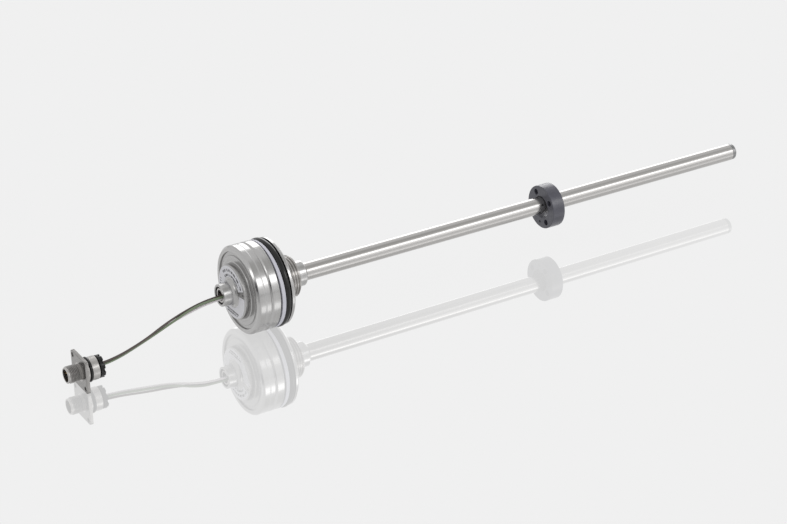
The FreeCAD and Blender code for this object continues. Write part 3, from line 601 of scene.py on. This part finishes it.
finish_piece(lathe([
    (COLLAR_END, ROD_SEAT_RADIUS), (COLLAR_END, 8.3, 0.15), (21.0, 9.2, 0.35), (-0.4, 9.2), (-0.4, 13.2),
    (0, 13.6), (0, 30.2, 0.2), (-1.0, LIP_RADIUS, 0.25), (GROOVE_NEAR, LIP_RADIUS, 0.15),
    (GROOVE_NEAR, GROOVE_FLOOR, 0.3), (GROOVE_FAR, GROOVE_FLOOR, 0.3), (GROOVE_FAR, 30.6, 0.15),
    (-11.95, HOUSING_RADIUS, 0.2), (-17.25, HOUSING_RADIUS, 0.25), (-18.25, 30.45), (JOINT, 30.2),
    (JOINT, SPIGOT_RADIUS), (-20.0, SPIGOT_RADIUS), (-20.0, SPIGOT_GROOVE_RADIUS),
    (-21.3, SPIGOT_GROOVE_RADIUS), (-21.3, SPIGOT_RADIUS), (-22.9, SPIGOT_RADIUS, 0.3),
    (-22.9, CAVITY_RADIUS, 0.3), (-5.0, CAVITY_RADIUS), (-5.0, ROD_SEAT_RADIUS)]),
    "flange_body", SATIN_STEEL, stands_for=("pressure_flange",))

# %% Boss thread
BOSS_RADIUS = 15.0
BOSS_END = 13.7
finish_piece(
    thread(-0.3, BOSS_END, crest=BOSS_RADIUS, pitch=2.0, inner=8.9, lead_in=(12.6, BOSS_RADIUS, 1.0)),
    "boss_thread", THREAD_STEEL, crease=50)

# %% [markdown]
# ## The sleeve and the cover
# The sleeve closes the housing at the back. Its rim has a wide bevel, and a fine turned line runs round
# its side. The cover sits in it, a little lower than the rim, with a shallow channel round its edge. In
# the middle stands a round plinth with soft edges, from which the nozzle for the wires rises in one
# smooth flare. The flare is the large rounding of a single corner, so it needs no curve of its own.

# %% Sleeve, cover and outlet
SLEEVE_BORE = 26.0
RIM_END = -28.6
RIM_BORE = 27.5
COVER_SEAT = -24.6
COVER_RADIUS = 27.42
PLINTH_TOP = -33.1
NOZZLE_MOUTH = -42.6
OUTLET_RADIUS = 5.2
WIRE_BORE = 3.95

finish_piece(lathe([
    (JOINT, SLEEVE_BORE), (JOINT, 30.95), (-19.15, HOUSING_RADIUS, 0.15), (-22.4, HOUSING_RADIUS),
    (-22.6, 31.33), (-22.9, 31.27), (-23.2, 31.33), (-23.4, HOUSING_RADIUS),
    (-27.2, HOUSING_RADIUS, 0.35), (RIM_END, 30.05, 0.25), (RIM_END, RIM_BORE, 0.3),
    (COVER_SEAT, RIM_BORE), (COVER_SEAT, SLEEVE_BORE)]),
    "housing_shell", SATIN_STEEL, stands_for=("housing_sleeve",))
finish_piece(lathe([
    (COVER_SEAT, WIRE_BORE), (COVER_SEAT, COVER_RADIUS), (-27.55, COVER_RADIUS, 0.2),
    (-27.55, 24.8, 0.15), (-28.15, 24.8, 0.3), (-28.15, 19.85, 0.6), (PLINTH_TOP, 19.55, 0.8),
    (PLINTH_TOP, 8.1, 3.0), (NOZZLE_MOUTH, 7.95, 0.5), (NOZZLE_MOUTH, 6.3, 0.25), (-39.2, 6.3),
    (-39.2, 5.24), (PLINTH_TOP, 5.24), (PLINTH_TOP, WIRE_BORE)]),
    "cover_with_nozzle", FACED_STEEL, stands_for=("rear_cover",))
finish_piece(lathe([
    (-42.1, WIRE_BORE, 0.25), (-42.1, OUTLET_RADIUS, 0.35), (PLINTH_TOP, OUTLET_RADIUS),
    (PLINTH_TOP, WIRE_BORE)], steps=96),
    "outlet_liner", NICKEL, stands_for=("outlet_sleeve",))

# %% [markdown]
# ## The label on the plinth
# A thin grey plate lies round the nozzle, open at one side. The real one is printed. Here the print is
# only rows of small blots, which give the same grey texture without any words. A picture could be laid
# on the plate, but masks in the material stay sharp and need no file: a distance from the axis and an
# angle pick the place of a row, and noise breaks the row up.

# %% Masks for the print
BLOTS_ACROSS = 350.0


def blots(tree, along, across, blots_along, bare_share):
    """1 on small blots, else 0, from noise that is read along a row and across it."""
    spot = add_node(tree, "ShaderNodeCombineXYZ")
    noise = add_node(tree, "ShaderNodeTexNoise", {"Scale": 1.0, "Detail": 2.0})
    link(tree, *calculate(tree, "MULTIPLY", along, blots_along), spot, "X")
    link(tree, *calculate(tree, "MULTIPLY", across, BLOTS_ACROSS), spot, "Y")
    link(tree, spot, 0, noise, "Vector")
    return calculate(tree, "GREATER_THAN", (noise, "Fac"), bare_share)


def patch(tree, first, first_range, second, second_range):
    """1 where two values both lie in their range, else 0. A range is (middle, half)."""
    return calculate(tree, "MULTIPLY", calculate(tree, "COMPARE", first, *first_range),
                     calculate(tree, "COMPARE", second, *second_range))


# %% The print
# A round row is (middle radius, half width, first angle, last angle, blots along), a straight row is
# (height, half length). Sizes are in mm and angles in radians, from straight up towards the camera.
ROUND_ROWS = ((15.7, 0.9, -0.84, 1.12, 14.0), (12.3, 0.75, -0.84, 0.9, 11.0))
STRAIGHT_ROWS = ((-14.0, 9.0), (-15.9, 7.4))
STRAIGHT_HALF_WIDTH = 0.65
BAR_ANGLES = (-1.27, -1.41, -1.55)
BAR_RADIUS, BAR_HALF_LENGTH, BAR_HALF_ANGLE = 16.1, 0.95, 0.024
PLATE_GREY = (0.62, 0.62, 0.65, 1)
INK = (0.03, 0.03, 0.035, 1)


def print_mask(tree):
    """1 where the plate carries ink: two round rows, two straight rows and three short bars."""
    place = add_node(tree, "ShaderNodeTexCoord")
    parts = add_node(tree, "ShaderNodeSeparateXYZ")
    link(tree, place, "Object", parts, 0)
    aside, height = (parts, "Y"), (parts, "Z")
    angle = calculate(tree, "ARCTAN2", calculate(tree, "MULTIPLY", aside, -1.0), height)
    radius = distance_from_axis(tree, parts)

    masks = []
    for middle, half, first, last, blots_along in ROUND_ROWS:
        row = patch(tree, radius, (middle * MM, half * MM), angle, ((first + last) / 2, (last - first) / 2))
        ink = blots(tree, angle, radius, blots_along, bare_share=0.455)
        masks.append(calculate(tree, "MULTIPLY", row, ink))
    for middle, reach in STRAIGHT_ROWS:
        row = patch(tree, height, (middle * MM, STRAIGHT_HALF_WIDTH * MM), aside, (0.0, reach * MM))
        ink = blots(tree, aside, height, blots_along=900.0, bare_share=0.44)
        masks.append(calculate(tree, "MULTIPLY", row, ink))
    for middle in BAR_ANGLES:
        masks.append(patch(tree, radius, (BAR_RADIUS * MM, BAR_HALF_LENGTH * MM),
                           angle, (middle, BAR_HALF_ANGLE)))
    printed = masks[0]
    for mask in masks[1:]:
        printed = calculate(tree, "MAXIMUM", printed, mask)
    return printed


def build_label_finish():
    """Pale plate with rows of dark blots, placed by radius and angle about the X axis."""
    material = bpy.data.materials.new("printed_plate")
    tree = empty_tree(material)
    out = add_node(tree, "ShaderNodeOutputMaterial")
    shader = add_node(tree, "ShaderNodeBsdfPrincipled", {"Metallic": 0.0})
    grain = add_node(tree, "ShaderNodeGroup", node_tree=GRAIN)
    colour = add_node(tree, "ShaderNodeMix", data_type="RGBA")
    colour.inputs["A"].default_value = PLATE_GREY
    colour.inputs["B"].default_value = INK
    link(tree, *print_mask(tree), colour, "Factor")
    link(tree, colour, "Result", shader, "Base Color")
    add_marks(tree, grain, shader, rough=(0.32, 0.45), bump=(0.15, 0.00004))
    link(tree, shader, 0, out, "Surface")
    print(material.name, "nodes:", len(tree.nodes))
    return material


# %% Label plate and the plug beside it
LABEL_OPEN = (math.radians(67), math.radians(84))
LABEL_INNER, LABEL_OUTER = 10.9, 18.75
LABEL_BACK, LABEL_FACE = -33.05, -33.25
label_shape = lathe([
    (LABEL_BACK, LABEL_INNER), (LABEL_FACE, LABEL_INNER, 0.04), (LABEL_FACE, LABEL_OUTER, 0.04),
    (LABEL_BACK, LABEL_OUTER)], steps=132, sweep=FULL_TURN - (LABEL_OPEN[1] - LABEL_OPEN[0]))
bmesh.ops.rotate(label_shape, verts=label_shape.verts, cent=(0, 0, 0),
                 matrix=Matrix.Rotation(LABEL_OPEN[1], 3, "X"))
finish_piece(label_shape, "label_plate", build_label_finish())

PLUG_TURN = math.radians(75.5)
PLUG_CIRCLE = 17.4
PLUG_RADIUS = 0.7
finish_piece(lathe([(-33.0, 0), (-33.0, PLUG_RADIUS), (-33.16, PLUG_RADIUS, 0.08), (-33.16, 0)], steps=32),
             "vent_plug", GROMMET_GREY,
             place=(0, -PLUG_CIRCLE * math.sin(PLUG_TURN), PLUG_CIRCLE * math.cos(PLUG_TURN)))

# %% [markdown]
# ## Seals
# The O-ring is a plain torus, black and a little shiny. The back-up ring beside it is pale plastic with
# a flat section. Both are soft and were pressed in by hand, so they don't lie quite square in their
# groove. They are turned straight on the lathe and then each is sheared a little along X, because a
# tilt of the whole ring would lift it out of the round groove.

# %% O-ring and back-up ring
def lean(shape, share, pivot, towards=105):
    """Shear a ring along X. Each point moves by a share of its distance from the pivot station, and
    most on the side that lies at the angle called towards, in degrees from straight up."""
    for vert in shape.verts:
        turn = math.atan2(-vert.co.y, vert.co.z) - math.radians(towards)
        vert.co.x += share * (vert.co.x - pivot * MM) * math.cos(turn)
    return shape


def ring_section(station, middle, half, count=28):
    """The corners of a round section, for the lathe."""
    turns = [FULL_TURN * step / count for step in range(count)]
    return [(station + half * math.cos(turn), middle + half * math.sin(turn)) for turn in turns]


SEAL_STATION, SEAL_MIDDLE, SEAL_HALF = -5.84, 29.485, 2.45
BACKUP_NEAR, BACKUP_FAR, BACKUP_RADIUS = -8.75, -10.7, 31.3
ROUND_CREASE = 60
seal = finish_piece(
    lean(lathe(ring_section(SEAL_STATION, SEAL_MIDDLE, SEAL_HALF), steps=160), share=0.0057, pivot=-80),
    "flange_seal", RUBBER, stands_for=("flange_o_ring",), crease=ROUND_CREASE)
backup_shape = lathe([
    (BACKUP_NEAR, 26.9), (BACKUP_NEAR, BACKUP_RADIUS, 0.15), (BACKUP_FAR, BACKUP_RADIUS, 0.15),
    (BACKUP_FAR, 26.9)])
finish_piece(lean(backup_shape, share=0.4, pivot=-11.5), "backup_band", BACKUP_WHITE,
             stands_for=("backup_ring",))

# %% [markdown]
# ## The rod
# The rod is a drawn and polished tube. Near its end a fine seam shows where the end plug is welded in.
# The plug is duller than the tube, and its edge is rounded so that it can't score the bore. The tube
# is hollow and the plug reaches into it, so both are laid as outlines that meet at the seam.

# %% Rod and end plug
ROD_RADIUS, ROD_BORE = 6.35, 4.85
SEAM = 402.6
ROD_END = 406.0
finish_piece(lathe([
    (-3.0, ROD_BORE), (-3.0, ROD_RADIUS), (402.35, ROD_RADIUS), (402.5, 6.28), (SEAM, 6.2),
    (SEAM, ROD_BORE)], steps=96),
    "drawn_rod", ROD_STEEL, stands_for=("rod_tube",))
finish_piece(lathe([
    (394.6, 0), (394.6, 4.8), (SEAM, 4.8), (402.62, 5.95), (402.85, 6.2, 0.08), (ROD_END, 6.15, 1.0),
    (ROD_END, 0)], steps=96),
    "rod_tip", WELDED_STEEL, stands_for=("rod_end_plug",))

# %% [markdown]
# ## The ring magnet
# The magnet is a thick disc of plastic-bound ferrite with a wide bore and four bolt holes. Circles are
# laid inside each other and the space between them is filled, then the flat shape is extruded to its
# thickness and every rim gets a small rounding. Boolean cuts would do too, but this way needs no
# helper solids and no cleaning up. The mark of an ejector pin dimples its near face: it is a fifth
# small hole with a plug in it that stops a little under the face. The bore's faces get a paler finish
# of their own, which is painted light standing in for the light in the bore.

# %% Flat plates with holes
def round_loop(shape, radius, y=0.0, z=0.0, segments=48):
    """A circle of edges in the YZ plane."""
    loop = bmesh.ops.create_circle(shape, cap_ends=False, radius=radius * MM, segments=segments)["verts"]
    bmesh.ops.rotate(shape, verts=loop, cent=(0, 0, 0), matrix=Matrix.Rotation(math.pi / 2, 3, "Y"))
    bmesh.ops.translate(shape, verts=loop, vec=(0, y * MM, z * MM))


def fill_and_extrude(shape, thickness, edge_round):
    """Fill the wires of a flat drawing, give it its thickness along X, and round all its rims."""
    bmesh.ops.triangle_fill(shape, edges=shape.edges[:], use_beauty=True, use_dissolve=False,
                            normal=(1, 0, 0))
    grown = bmesh.ops.extrude_face_region(shape, geom=shape.faces[:])["geom"]
    bmesh.ops.translate(shape, verts=vertices_of(grown), vec=(thickness * MM, 0, 0))
    bmesh.ops.recalc_face_normals(shape, faces=shape.faces)
    rims = [edge for edge in shape.edges if edge.calc_face_angle(0) > math.radians(60)
            and abs(edge.verts[0].co.x - edge.verts[1].co.x) < TINY]
    round_edges(shape, rims, edge_round, segments=3)


def on_circle(radius, degrees):
    """The Y and Z of a place on a circle about the axis, turned from +Y towards +Z."""
    turn = math.radians(degrees)
    return (radius * math.cos(turn), radius * math.sin(turn))


# %% Ring magnet
MAGNET_PLACE = (224.4, 0, -1.75)
MAGNET_RADIUS, MAGNET_BORE, MAGNET_THICKNESS = 16.3, 8.4, 10.2
BOLT_HOLES, BOLT_HOLE_RADIUS, BOLT_CIRCLE, FIRST_BOLT = 4, 2.15, 11.95, 57
MARK_RADIUS, MARK_DEPTH = 0.9, 0.6
MARK_PLACE = on_circle(12.0, 275)

magnet_shape = bmesh.new()
round_loop(magnet_shape, MAGNET_RADIUS, segments=160)
round_loop(magnet_shape, MAGNET_BORE, segments=112)
for number in range(BOLT_HOLES):
    hole_place = on_circle(BOLT_CIRCLE, FIRST_BOLT + number * 360 / BOLT_HOLES)
    round_loop(magnet_shape, BOLT_HOLE_RADIUS, *hole_place)
round_loop(magnet_shape, MARK_RADIUS, *MARK_PLACE, segments=24)
fill_and_extrude(magnet_shape, MAGNET_THICKNESS, edge_round=0.35)
magnet = finish_piece(magnet_shape, "slide_magnet", MAGNET_BLACK, body="magnet",
                      stands_for=("ring_magnet",), place=MAGNET_PLACE)
# The bore faces take the paler finish, which is painted light.
magnet.data.materials.append(BORE_PAINTED_LIGHT)
for face in magnet.data.polygons:
    from_centre = math.hypot(face.center.y / MM, face.center.z / MM - MAGNET_PLACE[2])
    if from_centre < MAGNET_BORE + 0.1:
        face.material_index = 1

mark_plug = lathe([
    (MARK_DEPTH, 0), (MARK_DEPTH, MARK_RADIUS + 0.02), (10.0, MARK_RADIUS + 0.02), (10.0, 0)], steps=24)
mould_mark = finish_piece(mark_plug, "mould_mark", MAGNET_BLACK, body="magnet",
                          place=(MAGNET_PLACE[0], MARK_PLACE[0], MAGNET_PLACE[2] + MARK_PLACE[1]))

# %% [markdown]
# ## The connector
# The connector is a small round plug with a square plate that is screwed to a panel. The barrel, seal
# groove and collar are turned, the plate is a rounded square with four holes, and the barrel carries an
# M12 x 1 thread. They are separate meshes on the same body, laid into each other, as a maker would braze
# or machine them from one bar. Each then keeps the way of making that suits it.

# %% Connector shell and thread
BARREL_END = -9.55
SOCKET_RADIUS, REAR_BORE, SOCKET_END = 4.45, 5.3, 3.0
COLLAR_RADIUS = 8.1
REAR_END = 12.4
shell = finish_piece(lathe([
    (BARREL_END, SOCKET_RADIUS, 0.1), (BARREL_END, 5.2, 0.12), (-9.25, 5.55, 0.15), (-8.05, 5.55),
    (-7.9, 5.3), (-1.6, 5.3), (-1.5, 5.4), (0.1, 5.4), (0.1, 7.9), (4.9, 8.0, 0.2), (4.9, 6.6), (7.05, 6.6),
    (7.05, COLLAR_RADIUS, 0.2), (11.8, COLLAR_RADIUS, 0.2), (REAR_END, 7.5, 0.15), (REAR_END, REAR_BORE),
    (SOCKET_END, REAR_BORE), (SOCKET_END, SOCKET_RADIUS)], steps=96),
    "connector_body", NICKEL, stands_for=("connector_shell",), place=CONNECTOR_PLACE)
# The barrel thread takes the darker nickel, which is painted shade near the plate.
barrel_thread = finish_piece(
    thread(-8.0, -1.55, crest=6.0, pitch=1.0, inner=5.15, lead_in=(-7.7, 6.0, -1.0), steps=64),
    "barrel_thread", SHADED_NICKEL, place=CONNECTOR_PLACE, crease=50)

# %% Connector plate
PLATE_HALF, PLATE_ROUNDING, PLATE_THICKNESS = 11.7, 1.5, 2.5
PLATE_BORE = 6.5
SCREW_PLACE, SCREW_HOLE_RADIUS = 8.9, 1.6
CORNER_SIGNS = ((1, 1), (-1, 1), (-1, -1), (1, -1))

plate_shape = bmesh.new()
corners = [plate_shape.verts.new((0, y * PLATE_HALF * MM, z * PLATE_HALF * MM)) for y, z in CORNER_SIGNS]
join_corners(plate_shape, corners, closed=True)
for corner in corners:
    round_corner(plate_shape, corner, PLATE_ROUNDING, segments=8)
round_loop(plate_shape, PLATE_BORE, segments=64)
for y, z in CORNER_SIGNS:
    round_loop(plate_shape, SCREW_HOLE_RADIUS, y * SCREW_PLACE, z * SCREW_PLACE, segments=32)
fill_and_extrude(plate_shape, PLATE_THICKNESS, edge_round=0.25)
# The plate takes the darker nickel, which is painted shade and a painted darker reflection.
plate = finish_piece(plate_shape, "connector_plate", SHADED_NICKEL, place=CONNECTOR_PLACE)

# %% [markdown]
# ## Seal and clip ring of the connector
# A black O-ring seals the collar against the panel. Behind it a glossy black ring with eight notches
# holds the contact insert. The ring is turned first, and then the faces between the notches are grown
# out of its rear end, because that needs no cuts.

# %% Connector seal
connector_seal = finish_piece(
    lathe(ring_section(5.975, 7.7, 1.0, count=20), steps=96), "connector_seal", RUBBER,
    stands_for=("connector_o_ring",), place=CONNECTOR_PLACE, crease=ROUND_CREASE)

# %% Clip ring
CLIP_FLOOR, CLIP_BORE, CLIP_SPIGOT, CLIP_STEP, CLIP_RADIUS = 14.3, 4.6, 5.25, 6.1, 7.8
CLIP_HEIGHT = 1.7
NOTCH_EVERY = 45
TOOTH_FROM, TOOTH_TO = 9.375, 35.625

clip_shape = lathe([
    (8.5, CLIP_BORE), (8.5, CLIP_SPIGOT), (12.8, CLIP_SPIGOT), (12.8, CLIP_RADIUS),
    (CLIP_FLOOR, CLIP_RADIUS), (CLIP_FLOOR, CLIP_STEP), (CLIP_FLOOR, CLIP_BORE)], steps=96)
raised = []
for face in clip_shape.faces:
    middle = face.calc_center_median()
    turn = math.degrees(math.atan2(middle.y, middle.z)) % NOTCH_EVERY
    at_rear = abs(face.normal.x) > 0.9 and abs(middle.x - CLIP_FLOOR * MM) < 1e-6
    inner = math.hypot(middle.y, middle.z) < CLIP_STEP * MM
    if at_rear and (inner or TOOTH_FROM < turn < TOOTH_TO):
        raised.append(face)
grown = bmesh.ops.extrude_face_region(clip_shape, geom=raised)["geom"]
bmesh.ops.delete(clip_shape, geom=[face for face in raised if face.is_valid], context="FACES_ONLY")
bmesh.ops.translate(clip_shape, verts=vertices_of(grown), vec=(CLIP_HEIGHT * MM, 0, 0))
bmesh.ops.recalc_face_normals(clip_shape, faces=clip_shape.faces)
crisp = [edge for edge in clip_shape.edges if edge.calc_face_angle(0) > math.radians(50)]
round_edges(clip_shape, crisp, 0.15, segments=2)
clip = finish_piece(clip_shape, "clip_ring", CLIP_BLACK, stands_for=("connector_clip_ring",),
                    place=CONNECTOR_PLACE)

# %% [markdown]
# ## The studio
# The floor and background are one plain pale grey. The floor shows mostly its own colour and takes a
# soft shadow, and it gives a faint mirror image, as a sheet of polished acrylic does. The image is
# clearer at the connector's end than at the rod's tip, so its share falls along X. The sheet lies there
# twice, one just under the other. The camera sees the upper one, which no lamp lights, so it stays even.
# The steel sees the lower one, which the front lamps do light.

# %% Floor
BACKGROUND = (0.8714, 0.8714, 0.8714, 1)
FLOOR_HEIGHT = -32.16 * MM
FLOOR_REACH = 8.0
SHEET_GAP = 0.1 * MM
UNSEEN_BY = ("visible_camera", "visible_diffuse", "visible_transmission", "visible_volume_scatter",
             "visible_shadow")


def floor_sheet(name, height):
    """A wide flat sheet that isn't part of the object."""
    shape = bmesh.new()
    bmesh.ops.create_grid(shape, x_segments=1, y_segments=1, size=FLOOR_REACH)
    bmesh.ops.translate(shape, verts=shape.verts, vec=(0, 0, height))
    sheet = new_object(name, new_mesh(name, shape))
    return sheet


floor = floor_sheet("floor", FLOOR_HEIGHT)
mirrored_floor = floor_sheet("mirrored_floor", FLOOR_HEIGHT - SHEET_GAP)
floor.visible_glossy = False
for sight in UNSEEN_BY:
    setattr(mirrored_floor, sight, False)
print("floor at", round(FLOOR_HEIGHT, 5))

# %% Floor finish
PAPER = (0.8, 0.8, 0.8, 1)
OWN_COLOUR_SHARE = 0.94
MIRROR_SHARE = {"From Min": -0.16, "From Max": 0.3, "To Min": 0.42, "To Max": 0.22}

floor_finish = bpy.data.materials.new("polished_acrylic_floor")
tree = empty_tree(floor_finish)
out = add_node(tree, "ShaderNodeOutputMaterial")
paper = add_node(tree, "ShaderNodeBsdfDiffuse", {"Color": PAPER})
glow = add_node(tree, "ShaderNodeEmission", {"Color": BACKGROUND, "Strength": 1.02})
matt = add_node(tree, "ShaderNodeMixShader", {"Fac": OWN_COLOUR_SHARE})
mirror = add_node(tree, "ShaderNodeBsdfGlossy", {"Color": (1, 1, 1, 1), "Roughness": 0.015})
surface = add_node(tree, "ShaderNodeMixShader")
place = add_node(tree, "ShaderNodeTexCoord")
parts = add_node(tree, "ShaderNodeSeparateXYZ")
share = add_node(tree, "ShaderNodeMapRange", MIRROR_SHARE)
link(tree, place, "Object", parts, 0)
link(tree, parts, "X", share, "Value")
link(tree, share, "Result", surface, "Fac")
link(tree, paper, 0, matt, 1)
link(tree, glow, 0, matt, 2)
link(tree, matt, 0, surface, 1)
link(tree, mirror, 0, surface, 2)
link(tree, surface, 0, out, "Surface")
for sheet in (floor, mirrored_floor):
    sheet.data.materials.append(floor_finish)
print("floor nodes:", len(tree.nodes))

# %% [markdown]
# ## The room
# Polished metal shows the room it stands in. The room of the photograph is pale, but it has a dark patch
# on the left, it is a little dimmer overhead, and a thin dark line runs round it at eye level, where the
# table meets the wall. They show as soft grey bands on the steel, and without them it looks flat. Real
# cards and walls would need a stage of their own, so each is a mask on the direction in which the world
# is seen.

# %% World
DARK_PATCH = {"direction": (-0.90, -0.43, 0.06), "inner": 12, "outer": 18}
DIM_PATCH = {"direction": (0.39, -0.25, 0.885), "inner": 6, "outer": 24}
DARK_WALL = (0.09, 0.09, 0.095, 1)
DIM_CEILING = (0.62, 0.62, 0.61, 1)
LINE_HEIGHT = 0.03
LINE_SHADE = {"From Min": 0.045, "From Max": 0.02, "To Max": 0.34}
DAYLIGHT = 0.75

world = bpy.data.worlds.new("studio")
bpy.context.scene.world = world
tree = empty_tree(world)
place = add_node(tree, "ShaderNodeTexCoord")


def room_patch(direction, inner, outer):
    """A soft round patch of the room: 1 within an angle of a direction, 0 past another, in degrees."""
    dot = add_node(tree, "ShaderNodeVectorMath", operation="DOT_PRODUCT")
    dot.inputs[1].default_value = Vector(direction).normalized()
    soft = add_node(tree, "ShaderNodeMapRange", {"From Min": math.cos(math.radians(outer)),
                                                 "From Max": math.cos(math.radians(inner))},
                    interpolation_type="SMOOTHSTEP")
    link(tree, place, "Generated", dot, 0)
    link(tree, dot, "Value", soft, "Value")
    return (soft, "Result")


def line_round_the_room():
    """A thin soft line at one height of the room."""
    parts = add_node(tree, "ShaderNodeSeparateXYZ")
    shade = add_node(tree, "ShaderNodeMapRange", LINE_SHADE, interpolation_type="SMOOTHSTEP")
    link(tree, place, "Generated", parts, 0)
    above_line = calculate(tree, "SUBTRACT", (parts, "Z"), LINE_HEIGHT)
    link(tree, *calculate(tree, "ABSOLUTE", above_line), shade, "Value")
    return (shade, "Result")


def tinted(share, other_colour):
    """A colour mix that turns to another colour by a share."""
    mix = add_node(tree, "ShaderNodeMix", data_type="RGBA")
    mix.inputs["B"].default_value = other_colour
    link(tree, *share, mix, "Factor")
    return mix


# %% What the steel mirrors
dark = calculate(tree, "MAXIMUM", room_patch(**DARK_PATCH), line_round_the_room())
wall = tinted(dark, DARK_WALL)
wall.inputs["A"].default_value = BACKGROUND
room = tinted(room_patch(**DIM_PATCH), DIM_CEILING)
link(tree, wall, "Result", room, "A")
mirrored = add_node(tree, "ShaderNodeBackground", {"Strength": 1.0})
link(tree, room, "Result", mirrored, "Color")
print("room nodes:", len(tree.nodes))

# %% What camera, mirrors and matt sides see
seen = add_node(tree, "ShaderNodeBackground", {"Color": BACKGROUND, "Strength": 1.0})
lit = add_node(tree, "ShaderNodeBackground", {"Color": (1, 1, 1, 1), "Strength": DAYLIGHT})
rays = add_node(tree, "ShaderNodeLightPath")
by_gloss = add_node(tree, "ShaderNodeMixShader")
by_camera = add_node(tree, "ShaderNodeMixShader")
out = add_node(tree, "ShaderNodeOutputWorld")
shiny = calculate(tree, "MAXIMUM", (rays, "Is Glossy Ray"), (rays, "Is Transmission Ray"))
link(tree, *shiny, by_gloss, "Fac")
link(tree, lit, 0, by_gloss, 1)
link(tree, mirrored, 0, by_gloss, 2)
link(tree, rays, "Is Camera Ray", by_camera, "Fac")
link(tree, by_gloss, 0, by_camera, 1)
link(tree, seen, 0, by_camera, 2)
link(tree, by_camera, 0, out, "Surface")
print("world nodes:", len(tree.nodes))

# %% [markdown]
# ## The lamps
# The lamps are placed by what the round sides of the sensor mirror. A long box in front and above gives
# the bright line along the rod and the housing, with a weaker box under it for the soft lower edge of
# that line, and a third that fills the side. A large box behind the object gives the bright upper
# edges, and a small one on the left puts a glint on each bevel that faces the cable side. The front
# boxes also light the floor that the steel mirrors, which gives rod and housing a second, fainter
# bright line. No lamp lights the floor that the camera sees, so the background stays even.
# The real lamps are bright enough to glint on rubber, which on steel would clip to white. So two more
# boxes, in the places of the first and of the one behind, light only the dark pieces.

# %% Lamp helpers
def soft_box(name, place, aim, width, height, radiance):
    """A rectangular area lamp that looks at a point. Its power follows from its radiance and area."""
    data = bpy.data.lights.new(name, "AREA")
    data.shape = "RECTANGLE"
    data.size = width
    data.size_y = height
    data.energy = radiance * math.pi * width * height
    lamp = new_object(name, data)
    lamp.location = place
    lamp.rotation_euler = (Vector(aim) - Vector(place)).to_track_quat("-Z", "Y").to_euler()
    lamp.visible_camera = False
    return lamp


def round_the_rod(distance, degrees, x):
    """A place at a distance from the rod's axis, turned from straight up towards the camera's side."""
    turn = math.radians(degrees)
    return (x, -distance * math.sin(turn), distance * math.cos(turn))


def keep_off(lamps, *sheets):
    """These lamps light everything but the given floors."""
    lit_by_them = bpy.data.collections.new("all_but_" + "_and_".join(sheet.name for sheet in sheets))
    for number, sheet in enumerate(sheets):
        lit_by_them.objects.link(sheet)
        lit_by_them.collection_objects[number].light_linking.link_state = "EXCLUDE"
    for lamp in lamps:
        lamp.light_linking.receiver_collection = lit_by_them


def light_only(lamps, name, pieces):
    """These lamps light nothing but the given pieces."""
    lit_by_them = bpy.data.collections.new(name)
    for piece in pieces:
        lit_by_them.objects.link(piece)
    for lamp in lamps:
        lamp.light_linking.receiver_collection = lit_by_them


# %% Lamps
FRONT_PLACE, FRONT_AIM = round_the_rod(1.56, 55, 1.2), (1.2, 0, 0)
BACK_PLACE, BACK_AIM = (1.7, 1.55, 0.74), (1.7, 0, 0.74)
front_lamps = [
    soft_box("front_box", FRONT_PLACE, FRONT_AIM, 1.65, 0.5, radiance=2.1),
    soft_box("front_fall_box", round_the_rod(1.58, 67.5, 1.2), FRONT_AIM, 1.65, 0.2, radiance=0.5),
    soft_box("front_edge_box", round_the_rod(1.6, 79, 1.5), (1.5, 0, 0), 1.4, 0.55, radiance=0.6),
]
other_lamps = [
    soft_box("back_box", BACK_PLACE, BACK_AIM, 2.2, 1.46, radiance=1.8),
    soft_box("left_box", (-1.53, -0.19, 0.78), (-0.03, 0, 0), 0.45, 0.4, radiance=2.0),
]
glint_lamps = [
    soft_box("front_glint_box", FRONT_PLACE, FRONT_AIM, 1.65, 0.3, radiance=4.8),
    soft_box("back_glint_box", BACK_PLACE, BACK_AIM, 2.2, 1.3, radiance=5.6),
]
keep_off(front_lamps, floor)
keep_off(other_lamps, floor, mirrored_floor)
light_only(glint_lamps, "glossy_black", (seal, connector_seal, clip, magnet, mould_mark))
print("lamps:", len(front_lamps + other_lamps + glint_lamps))

# %% [markdown]
# ## The wire routes
# The route of each wire is read once more.

for name, wire in wires.items():
    route = WIRE_ROUTES[name][1]
